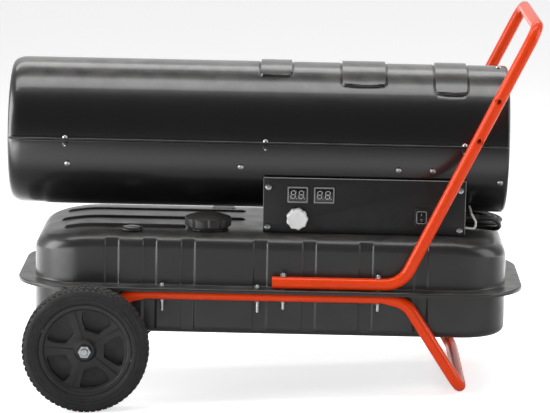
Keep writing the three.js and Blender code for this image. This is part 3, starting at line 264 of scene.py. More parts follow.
def nothing_selected():
    if bpy.context.object and bpy.context.object.mode != "OBJECT":
        bpy.ops.object.mode_set(mode="OBJECT")
    bpy.ops.object.select_all(action="DESELECT")


def pick(*objs):
    """Selects these objects alone, the first as the active one."""
    nothing_selected()
    for obj in objs:
        obj.select_set(True)
    bpy.context.view_layer.objects.active = objs[0]
    return objs[0]


def editing(obj):
    pick(obj)
    bpy.ops.object.mode_set(mode="EDIT")
    bpy.ops.mesh.select_all(action="SELECT")


def done():
    bpy.ops.object.mode_set(mode="OBJECT")


def placed(obj):
    """Applies the object's place, turn and size to its mesh."""
    pick(obj)
    bpy.ops.object.transform_apply(location=True, rotation=True, scale=True)
    return obj


def moved(obj, matrix):
    obj.data.transform(matrix)
    obj.data.update()
    return obj


def facing_out(obj):
    editing(obj)
    bpy.ops.mesh.remove_doubles(threshold=0.001)
    bpy.ops.mesh.normals_make_consistent(inside=False)
    done()
    return obj


def smoothed(obj, angle):
    pick(obj)
    bpy.ops.object.shade_smooth_by_angle(angle=math.radians(angle))
    return obj


def applied(obj, kind, **values):
    """Adds one modifier to the object and applies it."""
    pick(obj)
    modifier = obj.modifiers.new(kind.lower(), kind)
    for key, value in values.items():
        setattr(modifier, key, value)
    bpy.ops.object.modifier_apply(modifier=modifier.name)
    return obj


def rounded(obj, width, segments=2, angle=32):
    return applied(obj, "BEVEL", width=width, segments=segments, limit_method="ANGLE",
                   angle_limit=math.radians(angle), harden_normals=False,
                   use_clamp_overlap=True)


def walled(obj, thickness, offset=-1):
    return applied(obj, "SOLIDIFY", thickness=thickness, offset=offset,
                   use_even_offset=True)


def bored(obj, *tools):
    """Cuts the tools out of the object, and removes them."""
    for tool in tools:
        applied(obj, "BOOLEAN", object=tool, operation="DIFFERENCE", solver="EXACT")
        bpy.data.objects.remove(tool)
    return obj


def fused(*objs):
    pick(*objs)
    bpy.ops.object.join()
    return objs[0]


def copied(obj, matrix):
    twin = obj.copy()
    twin.data = obj.data.copy()
    bpy.context.scene.collection.objects.link(twin)
    return moved(twin, matrix)


def laid(pattern, places):
    """Copies of a pattern at each of the places; the pattern itself goes."""
    copies = [copied(pattern, place) for place in places]
    bpy.data.objects.remove(pattern)
    return copies


def around(pattern, angles, axis="X"):
    return laid(pattern, [rolled(angle, axis) for angle in angles])


def evenly(count, first=0.0):
    """Equal angles round a circle, in degrees."""
    return [first + 360 * index / count for index in range(count)]


def settle(obj, name, key, *nodes, body="chassis", smooth=34):
    """Smooths a mesh, lays it into the frame, gives it its finish and body, and hides the
    imported nodes it replaces.
    """
    if smooth:
        smoothed(obj, smooth)
    if obj.type == "MESH":
        moved(obj, TO_WORLD)
    obj.name = name
    obj.data.name = name
    obj.data.materials.clear()
    obj.data.materials.append(FINISH[key])
    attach(obj, body)
    if nodes:
        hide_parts(*nodes)
    return obj


# -------------------------------------------------------------------- modelling tools

def turned(profile, axis="z", at=(0, 0, 0), steps=64):
    """A vertex is extruded along a profile of (radius, along) and spun round an axis."""
    nothing_selected()
    bpy.ops.mesh.primitive_plane_add(size=1)
    obj = bpy.context.object
    editing(obj)
    bpy.ops.mesh.merge(type="CENTER")
    bpy.ops.transform.translate(value=(profile[0][0], 0, profile[0][1]))
    for here, there in zip(profile, profile[1:]):
        step = (there[0] - here[0], 0, there[1] - here[1])
        bpy.ops.mesh.extrude_vertices_move(TRANSFORM_OT_translate={"value": step})
    bpy.ops.mesh.select_all(action="SELECT")
    bpy.ops.mesh.spin(steps=steps, angle=math.tau, center=(0, 0, 0), axis=(0, 0, 1))
    done()
    facing_out(obj)
    return moved(obj, Matrix.Translation(at) @ AXES[axis])


def rod(radius, low, high, axis="z", at=(0, 0, 0), steps=64):
    return turned([(0, low), (radius, low), (radius, high), (0, high)], axis, at, steps)


def block(x0, x1, y0, y1, z0, z1, round_=0.0, segments=2):
    """A cube set between two corners, with its edges bevelled."""
    nothing_selected()
    bpy.ops.mesh.primitive_cube_add(
        size=1, location=((x0 + x1) / 2, (y0 + y1) / 2, (z0 + z1) / 2),
        scale=(x1 - x0, y1 - y0, z1 - z0))
    obj = placed(bpy.context.object)
    return rounded(obj, round_, segments) if round_ else obj


def wrapped(across, along, place, closed=False, flipped=False):
    """A grid whose columns and rows are laid out by place(column value, row value)."""
    nothing_selected()
    columns, rows = len(across), len(along)
    bpy.ops.mesh.primitive_grid_add(x_subdivisions=columns - 1, y_subdivisions=rows - 1,
                                    size=2)
    obj = bpy.context.object
    for vertex in obj.data.vertices:
        column = round((vertex.co.x + 1) / 2 * (columns - 1))
        row = round((vertex.co.y + 1) / 2 * (rows - 1))
        vertex.co = place(across[column], along[row])
    obj.data.update()
    editing(obj)
    if closed:
        bpy.ops.mesh.remove_doubles(threshold=0.002)
    if flipped:
        bpy.ops.mesh.flip_normals()
    done()
    return obj


def arc(start, end, count):
    """Equal steps from start to end, both included."""
    return [start + (end - start) * i / count for i in range(count + 1)]


def bent(corners, radii, steps=10):
    """The points of a path whose corners are rounded."""
    corners = [Vector(corner) for corner in corners]
    points = [corners[0]]
    for i, radius in enumerate(radii, 1):
        before = (corners[i] - corners[i - 1]).normalized()
        after = (corners[i + 1] - corners[i]).normalized()
        turn = before.angle(after)
        side = (after - before * math.cos(turn)).normalized()
        start = corners[i] - before * radius * math.tan(turn / 2)
        for angle in arc(0, turn, steps):
            points.append(start + before * radius * math.sin(angle)
                          + side * radius * (1 - math.cos(angle)))
    return points + [corners[-1]]


def stepped(points, step):
    """The same path with points no further apart than a step."""
    path = [points[0]]
    for start, end in zip(points, points[1:]):
        count = max(1, math.ceil((end - start).length / step))
        path += [start.lerp(end, share) for share in arc(0, 1, count)[1:]]
    return path


def curve_of(points, radius, resolution=5, loop=False):
    """A poly curve with a round section."""
    data = bpy.data.curves.new("run", "CURVE")
    data.dimensions = "3D"
    spline = data.splines.new("POLY")
    spline.points.add(len(points) - 1)
    for point, place in zip(spline.points, points):
        point.co = (*place, 1)
    spline.use_cyclic_u = loop
    data.bevel_depth = radius
    data.bevel_resolution = resolution
    obj = bpy.data.objects.new("run", data)
    bpy.context.scene.collection.objects.link(obj)
    return obj


def pipe(points, radius, resolution=5, loop=False, wall=0.0):
    """A tube along points: solid, or with open ends and a wall."""
    obj = curve_of(points, radius, resolution, loop)
    obj.data.use_fill_caps = not wall and not loop
    pick(obj)
    bpy.ops.object.convert(target="MESH")
    obj = bpy.context.object
    editing(obj)
    bpy.ops.mesh.remove_doubles(threshold=0.001)
    if not wall:
        bpy.ops.mesh.normals_make_consistent(inside=False)
    done()
    return walled(obj, wall) if wall else obj


def slab(outline, plane, depth, start, round_=0.0, segments=2):
    """An outline filled, and its face extruded to a depth. plane is xz or yz or xy."""
    nothing_selected()
    bpy.ops.mesh.primitive_circle_add(vertices=len(outline), radius=1, fill_type="NGON")
    obj = bpy.context.object
    for vertex, (u, v) in zip(obj.data.vertices, outline):
        vertex.co = (u, v, 0)
    editing(obj)
    bpy.ops.mesh.extrude_region_move(TRANSFORM_OT_translate={"value": (0, 0, depth)})
    done()
    facing_out(obj)
    if round_:
        rounded(obj, round_, segments)
    lay = {
        "xy": Matrix(((1, 0, 0, 0), (0, 1, 0, 0), (0, 0, 1, start), (0, 0, 0, 1))),
        "xz": Matrix(((1, 0, 0, 0), (0, 0, 1, start), (0, 1, 0, 0), (0, 0, 0, 1))),
        "yz": Matrix(((0, 0, 1, start), (1, 0, 0, 0), (0, 1, 0, 0), (0, 0, 0, 1))),
    }[plane]
    moved(obj, lay)
    return facing_out(obj)


def box_outline(width, height, corner, steps=4):
    """A rounded rectangle about the origin."""
    points = []
    for index, (sx, sy) in enumerate(((1, 1), (-1, 1), (-1, -1), (1, -1))):
        for angle in arc(index * 90, index * 90 + 90, steps):
            points.append((sx * (width / 2 - corner) + corner * math.cos(math.radians(angle)),
                           sy * (height / 2 - corner) + corner * math.sin(math.radians(angle))))
    return points


def ease(value, low, high):
    """Rises smoothly from 0 at low to 1 at high."""
    share = min(max((value - low) / (high - low), 0), 1)
    return share * share * (3 - 2 * share)


def drawn(rings, radius, at, lobes, depth, sharp, per_lobe=16):
    """A turned form with grip lobes: rings are (share of radius, height, share of depth)."""
    columns = arc(0, math.tau, lobes * per_lobe)

    def place(angle, ring):
        share, height, cut = ring
        groove = (0.5 - 0.5 * math.cos(lobes * angle)) ** sharp
        reach = radius * share - depth * cut * groove
        return Vector((at[0] + reach * math.cos(angle), at[1] + reach * math.sin(angle),
                       at[2] + height))
    return facing_out(wrapped(columns, rings, place, closed=True))


def pan_screw(radius=5.0, height=2.8):
    """A pan head screw with a crossed recess, standing on z = 0 and pointing up."""
    head = turned([(0, -2), (radius * 0.5, -2), (radius * 0.5, 0), (radius, 0),
                   (radius, height * 0.35), (radius * 0.9, height * 0.7),
                   (radius * 0.62, height * 0.94), (0, height)], steps=32)
    reach = radius * 0.4
    bar = block(-reach, reach, -0.6, 0.6, height * 0.4, height + 1)
    return bored(head, *around(bar, (20, 110), "Z"))


def hex_nut(radius, low, high):
    """A nut with chamfered corners."""
    outline = [(radius * math.cos(turn), radius * math.sin(turn))
               for turn in arc(0, math.tau, 6)[:-1]]
    nut = slab(outline, "xy", high - low, low)
    cone = turned([(0, low - 1), (radius * 0.87, low - 1), (radius * 1.02, low + 0.7),
                   (radius * 1.02, high - 0.7), (radius * 0.87, high + 1), (0, high + 1)],
                  steps=48)
    applied(nut, "BOOLEAN", object=cone, operation="INTERSECT", solver="EXACT")
    bpy.data.objects.remove(cone)
    return nut


def threaded(radius, low, high, pitch=1.0):
    """A rod with a chamfered tip and the rings of a thread."""
    profile = [(0, low), (radius * 0.75, low)]
    count = max(1, int((high - low - 1) / pitch))
    for index in range(count):
        base = low + 0.5 + index * pitch
        profile += [(radius * 0.86, base), (radius, base + pitch * 0.5)]
    profile += [(radius, high), (0, high)]
    return turned(profile, steps=24)


# ------------------------------------------------------------------------- finishes

class Nodes:
    """A node tree that is built up step by step."""

    def __init__(self, tree):
        self.tree = tree
        self.start = self.add("ShaderNodeTexCoord").outputs

    def add(self, kind, sockets=None, **values):
        """A node with its properties, and its sockets filled as put() does."""
        node = self.tree.nodes.new(kind)
        for key, value in values.items():
            setattr(node, key, value)
        for key, value in (sockets or {}).items():
            self.put(node.inputs[key], value)
        return node

    def put(self, socket, value):
        """Gives a socket its number or colour, or links the output that drives it."""
        if isinstance(value, bpy.types.NodeSocket):
            self.tree.links.new(value, socket)
        elif socket.type == "RGBA":
            socket.default_value = (*value[:3], 1)
        else:
            socket.default_value = value

    def noise(self, scale, detail=3.0, stretch=None):
        place = self.start["Object"]
        if stretch:
            place = self.add("ShaderNodeMapping",
                             {"Vector": place, "Scale": stretch}).outputs["Vector"]
        return self.add("ShaderNodeTexNoise", {
            "Vector": place, "Scale": scale, "Detail": detail}).outputs["Fac"]

    def ramp(self, value, stops):
        node = self.add("ShaderNodeValToRGB", {"Fac": value})
        while len(node.color_ramp.elements) < len(stops):
            node.color_ramp.elements.new(0.5)
        for element, (spot, tint) in zip(node.color_ramp.elements, stops):
            element.position = spot
            element.color = (*tint[:3], 1)
        return node.outputs["Color"]

    def spread(self, value, low, high, source=(0.35, 0.65)):
        """A value that runs over source, laid out from low to high."""
        return self.add("ShaderNodeMapRange", {
            "Value": value, "From Min": source[0], "From Max": source[1],
            "To Min": low, "To Max": high}).outputs["Result"]

    def mixed(self, share, first, second):
        return self.add("ShaderNodeMix", {"Factor": share, "A": first, "B": second},
                        data_type="RGBA").outputs["Result"]

    def maths(self, operation, first, second):
        return self.add("ShaderNodeMath", {0: first, 1: second},
                        operation=operation).outputs["Value"]

    def split(self, vector):
        return self.add("ShaderNodeSeparateXYZ", {"Vector": vector}).outputs

    def raised(self, height, distance, before=None):
        sockets = {"Height": height, "Distance": distance, "Strength": 1.0}
        if before:
            sockets["Normal"] = before
        return self.add("ShaderNodeBump", sockets).outputs["Normal"]


class Finish(Nodes):
    """The nodes of one material."""

    def __init__(self, name):
        self.material = bpy.data.materials.new(name)
        self.material.use_nodes = True
        super().__init__(self.material.node_tree)
        self.shader = self.tree.nodes["Principled BSDF"]

    def ready(self, sockets):
        """Fills the shader's sockets, and hands over the material."""
        for key, value in sockets.items():
            self.put(self.shader.inputs[key], value)
        return self.material


def shaded(tint, share):
    return tuple(min(max(value * share, 0), 1) for value in tint[:3])


def finish(name, tint, rough, metal=0.0, coat=0.0, coat_rough=0.08, specular=0.5,
           mottle=(9.0, 0.12), grain=(520.0, 0.00002), streak=None, dust=0.0,
           scuff=0.0, spread=0.16):
    """A painted, moulded or bare finish: mottled colour, uneven gloss, grain and dust."""
    nodes = Finish(name)
    size, depth = mottle
    base = nodes.ramp(nodes.noise(size, 5), ((0.3, shaded(tint, 1 - depth)),
                                             (0.7, shaded(tint, 1 + depth))))
    if streak:
        stretch, fine, strength = streak
        lines = nodes.spread(nodes.noise(fine, 3, stretch), 0.0, strength)
        base = nodes.mixed(lines, base, shaded(tint, 1.5))
    if scuff:
        worn = nodes.spread(nodes.noise(60, 8, (1, 1, 6)), 0.0, scuff, (0.62, 0.72))
        base = nodes.mixed(worn, base, shaded(tint, 2.4))
    if dust:
        upward = nodes.spread(nodes.split(nodes.start["Normal"])["Z"], 0.0, 1.0, (0.6, 0.98))
        settled = nodes.maths("MULTIPLY", upward,
                              nodes.spread(nodes.noise(30, 6), 0.2, dust))
        base = nodes.mixed(settled, base, (0.32, 0.30, 0.27))
    gloss = nodes.spread(nodes.noise(size * 5, 4), rough * (1 - spread), rough * (1 + spread))
    return nodes.ready({
        "Metallic": metal, "Coat Weight": coat, "Coat Roughness": coat_rough,
        "Specular IOR Level": specular, "Base Color": base, "Roughness": gloss,
        "Normal": nodes.raised(nodes.noise(grain[0], 2), grain[1])})


def burnt_finish(name, tint):
    """Sheet that the flame has coloured, bluest and darkest towards the outlet."""
    nodes = Finish(name)
    patch = nodes.noise(14, 6)
    run = nodes.spread(nodes.split(nodes.start["Object"])["X"], 0.0, 1.0, (-0.42, 0.1))
    heat = nodes.maths("ADD", run, nodes.spread(patch, -0.28, 0.28))
    fine = nodes.raised(nodes.noise(900, 3), 0.00003)
    return nodes.ready({
        "Metallic": 0.85,
        "Base Color": nodes.ramp(heat, (
            (0.0, (0.035, 0.033, 0.036)), (0.25, (0.09, 0.075, 0.085)),
            (0.5, (0.16, 0.11, 0.075)), (0.75, (0.24, 0.19, 0.13)),
            (1.0, shaded(tint, 1.1)))),
        "Roughness": nodes.spread(nodes.noise(80, 5), 0.42, 0.66),
        "Normal": nodes.raised(patch, 0.0004, fine)})


def mesh_finish(name, tint):
    """The woven mesh of the filler's strainer."""
    nodes = Finish(name)
    wires = [nodes.add("ShaderNodeTexWave", {"Vector": nodes.start["Object"], "Scale": 420},
                       bands_direction=way).outputs["Fac"] for way in "XY"]
    woven = nodes.maths("MULTIPLY", *wires)
    return nodes.ready({
        "Base Color": nodes.ramp(woven, ((0.2, shaded(tint, 0.25)), (0.6, tint))),
        "Roughness": 0.6, "Normal": nodes.raised(woven, 0.0003)})


def glass_finish(name):
    """The gauge's greyish window, faintly uneven; its grey is partly its own tint and partly a
    painted reflection of the sky.
    """
    nodes = Finish(name)
    return nodes.ready({
        # grey base colour: partly the window's tint, partly a painted reflection that lightens
        # it
        "Base Color": (0.42, 0.43, 0.41), "Transmission Weight": 0.4, "IOR": 1.46,
        "Roughness": nodes.spread(nodes.noise(40, 3), 0.02, 0.07)})


FINISH = {}


def make_finishes():
    tint = tints()
    FINISH.update(
        barrel=finish("barrel_enamel", tint.barrel, 0.32, coat=0.7, coat_rough=0.15,
                      mottle=(4, 0.1), grain=(240, 0.000003), spread=0.03, dust=0.004),
        tank=finish("tank_satin_paint", tint.tank, 0.36, metal=0.1, coat=0.3,
                    coat_rough=0.22, mottle=(5, 0.06), grain=(900, 0.00002), dust=0.04,
                    scuff=0.03),
        panel=finish("panel_fine_texture", tint.panel, 0.5, mottle=(12, 0.08),
                     grain=(1500, 0.00005), dust=0.02),
        tubes=finish("tube_gloss_paint", tint.tubes, 0.34, coat=0.2, coat_rough=0.1,
                     mottle=(10, 0.04), grain=(300, 0.000004), specular=0.25,
                     spread=0.05),
        tyre=finish("tyre_rubber", tint.rubber, 0.72, mottle=(22, 0.18),
                    grain=(1100, 0.00007), dust=0.14, scuff=0.06, specular=0.4),
        rubber=finish("cable_rubber", shaded(tint.rubber, 0.35), 0.4, mottle=(25, 0.1),
                      grain=(1300, 0.00002), dust=0.05),
        seal=finish("seal_rubber", tint.rubber, 0.8, grain=(1200, 0.00005)),
        plastic=finish("moulded_plastic", tint.plastic, 0.42, mottle=(16, 0.1),
                       grain=(1700, 0.00004), dust=0.05),
        hub=finish("hub_plastic", shaded(tint.plastic, 2.2), 0.46, mottle=(14, 0.15),
                   grain=(1400, 0.00005), dust=0.1, scuff=0.04),
        screen=finish("display_window", (0.006, 0.006, 0.007), 0.16, coat=0.6,
                      mottle=(20, 0.1), grain=(900, 0.000005)),
        segments=finish("display_segments", linear(0xA9ABAB), 0.4, mottle=(60, 0.05),
                        grain=(1500, 0.00001)),
        # light grey of the display frames and switch border, and also of the painted highlight
        # strips on the panel plate's edges
        border=finish("grey_border_and_edge_highlight", linear(0x808282), 0.45, mottle=(40, 0.08),
                      grain=(1500, 0.00003)),
        knob=finish("knob_plastic", tint.knob, 0.42, mottle=(20, 0.05),
                    grain=(1600, 0.00004), dust=0.03),
        marks=finish("white_marks", linear(0x9A9C9C), 0.5, grain=(1500, 0.00001)),
        zinc=finish("zinc_plate", tint.zinc, 0.28, metal=1.0, mottle=(120, 0.1),
                    grain=(1500, 0.00002), spread=0.25),
        steel=finish("bare_steel", tint.steel, 0.36, metal=0.95, mottle=(12, 0.08),
                     grain=(1200, 0.00002), streak=((1, 1, 22), 60, 0.25)),
        motor=finish("motor_enamel", linear(0x4A4C4D), 0.4, metal=0.3, mottle=(9, 0.1),
                     grain=(700, 0.00004), dust=0.08),
        burnt=burnt_finish("heat_stained_steel", tint.burnt),
        wire=finish("wire_coating", tint.plastic, 0.34, coat=0.3, mottle=(30, 0.1),
                    grain=(800, 0.00002)),
        brass=finish("turned_brass", linear(0xB08D4C), 0.3, metal=1.0, mottle=(40, 0.12),
                     grain=(1100, 0.00002)),
        ceramic=finish("glazed_ceramic", linear(0xEAE6DC), 0.22, coat=0.5,
                       mottle=(30, 0.04), grain=(300, 0.00002)),
        needle=finish("needle_orange", linear(0xD83A17), 0.4, mottle=(60, 0.06),
                      grain=(1500, 0.00001)),
        board=finish("lacquered_board", linear(0x2C5A3C), 0.35, coat=0.4, mottle=(60, 0.2),
                     grain=(900, 0.00005)),
        hose=finish("lead_sheath", linear(0xC6C5C0), 0.45, mottle=(40, 0.08),
                    grain=(1200, 0.00002)),
        strainer=mesh_finish("strainer_mesh", linear(0x9FA2A5)),
        lens=glass_finish("gauge_window"),
    )


KEPT = (
    ("steel", 0.35, ("chamber_support_front", "chamber_support_rear", "motor_bracket",
                     "motor_shaft", "thermostat")),
    ("brass", 0.3, ("nozzle", "float_arm")),
    ("ceramic", 0.0, ("spark_electrode",)),
    ("strainer", 0.0, ("fuel_strainer",)),
    ("seal", 0.4, ("cap_seal",)),
    ("plastic", 0.4, ("filler_neck", "ignition_transformer")),
    ("needle", 0.2, ("gauge_needle",)),
    ("board", 0.0, ("control_board",)),
    ("tank", 0.4, ("barrel_saddle_front", "barrel_saddle_rear")),
    ("panel", 0.4, ("control_box",)),
)


# ---------------------------------------------------------------- pieces and screws

class Piece:
    """What the operators share: each builds its piece, and raises if it can't."""

    def execute(self, context):
        self.build()
        return {"FINISHED"}


class HEATER_OT_kept_parts(Piece, bpy.types.Operator):
    """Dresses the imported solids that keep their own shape, with eased edges"""
    bl_idname = "heater.kept_parts"
    bl_label = "Kept parts"

    def build(self):
        for key, eased, names in KEPT:
            for name in names:
                node = frame["nodes"][name]
                node.data.materials.clear()
                node.data.materials.append(FINISH[key])
                if eased:
                    weld = node.modifiers.new("weld", "WELD")
                    weld.merge_threshold = 0.02 * MM
                    bevel = node.modifiers.new("ease", "BEVEL")
                    bevel.width = eased * MM
                    bevel.segments = 2
                    bevel.limit_method = "ANGLE"
                    bevel.angle_limit = math.radians(40)


def radial(x, fall, side, radius):
    """Where a screw stands on the barrel, pointing outwards, some degrees below level."""
    low = math.radians(fall)
    out = Vector((0, side * math.cos(low), -math.sin(low)))
    return shift(x, *(out * radius)[1:]) @ out.to_track_quat("Z", "Y").to_matrix().to_4x4()


def facing_front(x, z, y):
    return outwards(x, y, z, -1)


# ----------------------------------------------------------------------- the barrel

def edge_stations(low, high, edges, coarse, fine, reach):
    """Places from low to high, closer together round each edge."""
    places = [low]
    while places[-1] < high - 1e-6:
        near = min(abs(places[-1] - edge) for edge in edges)
        step = fine if near < reach + 1e-3 else coarse
        ahead = [edge - reach for edge in edges if edge - reach > places[-1] + 1e-6]
        if step == coarse and ahead:
            step = min(step, min(ahead) - places[-1])
        places.append(min(places[-1] + max(step, fine * 0.5), high))
    return places


def pad_height(x, theta, radius, rise):
    """How far the pressed bands lift the barrel's wall at a place."""
    height = 0.0
    for middle, width, low in PADS:
        reach = math.radians(90 - low) * radius
        across = abs(x - middle) - width / 2 + PAD_CORNER
        along = abs(theta - math.pi / 2) * radius - reach + PAD_CORNER
        away = math.hypot(max(across, 0), max(along, 0)) + min(max(across, along), 0) \
            - PAD_CORNER
        step = rise * ease(-away, -0.7, 1.1)
        groove = PAD_GROOVE * math.exp(-((away - 1.5) / 0.9) ** 2)
        height += step - groove
    return height


def barrel_profile():
    """(x, fall from the outer radius) along the barrel, with both rolled ends."""
    points = []
    for angle in arc(-110, 90, 20):
        turn = math.radians(angle)
        run = OUTLET_RUN if angle > 0 else OUTLET_CURL
        points.append((-BARREL_HALF + run * (1 - math.cos(turn)),
                       OUTLET_CURL * (1 - math.sin(turn))))
    edges = [middle + side * width / 2 for middle, width, low in PADS for side in (-1, 1)]
    start, end = -BARREL_HALF + OUTLET_RUN, BARREL_HALF - INLET_CURL
    points += [(x, 0) for x in edge_stations(start, end, edges, 14, 0.45, 3.6)[1:]]
    for angle in arc(90, -80, 8)[1:]:
        turn = math.radians(angle)
        points.append((BARREL_HALF - INLET_CURL * (1 - math.cos(turn)),
                       INLET_CURL * (1 - math.sin(turn))))
    return points


def half_shell(upper):
    size = sizes()
    radius = in_mm(size.barrel)
    rise = in_mm(size.pad_rise)
    edges = [math.radians(low) * radius for middle, width, low in PADS]
    quarter = math.pi / 2 * radius
    if upper:
        near = edge_stations(0, quarter, edges, 5, 0.45, 3.6)
        rows = [s / quarter / 2 for s in near] + [1 - s / quarter / 2 for s in near[-2::-1]]
    else:
        rows = arc(0, 1, 72)

    def place(station, share):
        x, fall = station
        reach = radius - fall
        start = math.asin((SEAM if upper else SEAM - SEAM_GAP) / reach)
        if upper:
            theta = start + share * (math.pi - 2 * start)
        else:
            theta = start - share * (math.pi + 2 * start)
        if upper and fall == 0:
            reach += pad_height(x, theta, radius, rise)
        return Vector((x, -reach * math.cos(theta), reach * math.sin(theta)))
    shell = wrapped(barrel_profile(), rows, place, flipped=not upper)
    return walled(shell, SHEET)


def seam_lip(side, low, high, inset, round_):
    reach = BARREL_HALF - inset
    return block(-reach, reach, *sorted(side * edge for edge in SEAM_LIP), low, high,
                 round_, 3)


class HEATER_OT_upper_shell(Piece, bpy.types.Operator):
    """Builds the barrel's upper half: three pressed bands, rolled ends and a seam lip"""
    bl_idname = "heater.upper_shell"
    bl_label = "Upper shell"

    def build(self):
        lips = [seam_lip(side, SEAM, 6.2, 4, 1.45) for side in (-1, 1)]
        settle(fused(half_shell(True), *lips), "barrel_upper_shell", "barrel", "upper_shell",
               smooth=40)


class HEATER_OT_lower_shell(Piece, bpy.types.Operator):
    """Builds the barrel's lower half with its rolled ends and the lip under the seam"""
    bl_idname = "heater.lower_shell"
    bl_label = "Lower shell"

    def build(self):
        lips = [seam_lip(side, 0.85, SEAM - SEAM_GAP, 30, 0.6) for side in (-1, 1)]
        settle(fused(half_shell(False), *lips), "barrel_lower_shell", "barrel", "lower_shell",
               smooth=40)


class HEATER_OT_barrel_screws(Piece, bpy.types.Operator):
    """Sets the pan head screws of the barrel's supports and the screws of its seam"""
    bl_idname = "heater.barrel_screws"
    bl_label = "Barrel screws"

    def build(self):
        radius = in_mm(sizes().barrel) - 0.1
        places = [(x, fall, side) for x, fall in SIDE_SCREWS for side in (-1, 1)]
        parts = laid(pan_screw(), [radial(*place, radius) for place in (*places, TOP_SCREW)])
        seam = [shift(x, side * SEAM_SCREW_OUT) for x in SEAM_SCREWS for side in (-1, 1)]
        parts += laid(moved(pan_screw(4.4, 4.2), shift(0, 0, 6.2)), seam)
        parts += laid(turned([(0, -8.5), (1.2, -8.5), (2.0, -7.2), (2.0, -5.6), (0, -5.6)],
                             steps=24), seam)
        clips = laid(block(-4, 4, -3.4, 3.0, -5.7, SEAM, 0.5), seam)
        settle(fused(*clips), "seam_clips", "barrel")
        settle(fused(*parts), "barrel_screws", "zinc")


# ------------------------------------------------------------------------- the tank

def droop(x):
    """The fall of the tank's top near its two ends."""
    fall, over = TANK_DROOP
    from_end = TANK_HALF[0] - abs(x - TANK_MIDDLE)
    share = max(0.0, (over - from_end) / over)
    return fall * share * share


def crown(y):
    """The fall of the tank's top towards its two long sides."""
    fall, start, end = TANK_CROWN
    share = min(max((abs(y) - start) / (end - start), 0.0), 1.0)
    return fall * share * share


def plan_columns():
    """Columns round the tank: each is (corner centre x, y, angle) on its outline."""
    straight_x = TANK_HALF[0] - TANK_CORNER
    straight_y = TANK_HALF[1] - TANK_CORNER
    edges = [place + side * FLUTE_WIDTH / 2 for place in FLUTES for side in (-1, 1)]
    run = edge_stations(TANK_MIDDLE - straight_x, TANK_MIDDLE + straight_x, edges,
                        9, 0.9, 4)
    left, right = TANK_MIDDLE - straight_x, TANK_MIDDLE + straight_x
    down = arc(straight_y, -straight_y, 16)[1:]

    def corner(x, y, start):
        return [(x, y, angle) for angle in arc(start, start + 90, 18)[1:]]
    return ([(x, straight_y, 90.0) for x in reversed(run)] + corner(left, straight_y, 90)
            + [(left, y, 180.0) for y in down] + corner(left, -straight_y, 180)
            + [(x, -straight_y, 270.0) for x in run[1:]] + corner(right, -straight_y, 270)
            + [(right, -y, 360.0) for y in down] + corner(right, straight_y, 360))


def on_plan(column, inset):
    """The column's place on the outline drawn in by an inset, corners kept round."""
    x, y, angle = column
    radius = max(TANK_CORNER - inset, 0)
    shrink = max(inset - TANK_CORNER, 0)
    half_x, half_y = TANK_HALF[0] - TANK_CORNER, TANK_HALF[1] - TANK_CORNER
    x = TANK_MIDDLE + (x - TANK_MIDDLE) * (half_x - shrink) / half_x
    y = y * max(half_y - shrink, 0) / half_y
    turn = math.radians(angle)
    return x + radius * math.cos(turn), y + radius * math.sin(turn)


def flute_cut(column, height, low, high):
    """How far a flute presses the wall in at a column and height, from 0 to 1."""
    x, y, angle = column
    if angle not in (90.0, 270.0):
        return 0.0
    cut = 0.0
    for place in FLUTES:
        away = abs(x - place) - FLUTE_WIDTH / 2
        cut = max(cut, ease(-away, -1.7, 1.7))
    return cut * ease(height, low, low + 3) * (1 - ease(height, high - 9, high))


def pan(profile, low, high, falls):
    """A pressed pan from rings of (inset, height, outward tilt in degrees)."""
    depth = in_mm(sizes().flute_depth)

    def place(column, ring):
        inset, height, tilt = ring
        cut = flute_cut(column, height, low, high) * depth
        inset += cut * math.cos(math.radians(tilt))
        x, y = on_plan(column, inset)
        drop = (droop(x) + crown(y)) * (1 - ease(TANK_TOP - height, TANK_EDGE, TANK_EDGE * 4)) \
            if falls else 0
        return Vector((x, y, height - cut * math.sin(math.radians(tilt)) - drop))
    return wrapped(plan_columns(), profile, place, closed=True)


def corner_arc(inset, height, radius, start, end, count):
    """Rings round a bend whose centre is at (inset, height); tilt 90 faces up."""
    return [(inset - radius * math.cos(math.radians(tilt)),
             height + radius * math.sin(math.radians(tilt)), tilt)
            for tilt in arc(start, end, count)]


def closed_pan(profile, low, high, falls, facing_up):
    """A pan whose last, narrow ring is filled across."""
    body = pan(profile, low, high, falls)
    editing(body)
    bpy.ops.mesh.select_all(action="DESELECT")
    done()
    edge_inset = profile[-1][0]
    for edge in body.data.edges:
        middle = (body.data.vertices[edge.vertices[0]].co
                  + body.data.vertices[edge.vertices[1]].co) / 2
        edge.select = abs(middle.y) <= TANK_HALF[1] - edge_inset + 0.4 \
            and abs(middle.x - TANK_MIDDLE) <= TANK_HALF[0] - edge_inset + 0.4
    bpy.ops.object.mode_set(mode="EDIT")
    bpy.ops.mesh.select_mode(type="EDGE")
    bpy.ops.mesh.edge_face_add()
    bpy.ops.mesh.select_mode(type="VERT")
    bpy.ops.mesh.select_all(action="SELECT")
    bpy.ops.mesh.normals_make_consistent(inside=False)
    done()
    highest = max(body.data.polygons, key=lambda face: face.area)
    if (highest.normal.z > 0) != facing_up:
        editing(body)
        bpy.ops.mesh.flip_normals()
        done()
    return walled(body, SHEET)


def bead(row):
    """One pressed bead: a low rounded ridge that follows the tank's top."""
    side, start, end = row
    rise, half = in_mm(sizes().bead_rise), 5.4

    def place(share, across):
        x = start + (end - start) * share
        near_end = min(share, 1 - share) * (end - start)
        width = half * math.sqrt(max(1 - max(1 - near_end / half, 0) ** 2, 0.0))
        lift = max(math.cos(across * math.pi / 2), 0) ** 0.5 * ease(near_end, 0, half)
        return Vector((x, side + across * width,
                       TANK_TOP - droop(x) - 0.15 + rise * 1.15 * lift))
    return wrapped(arc(0, 1, 90), arc(-1, 1, 14), place, closed=True)


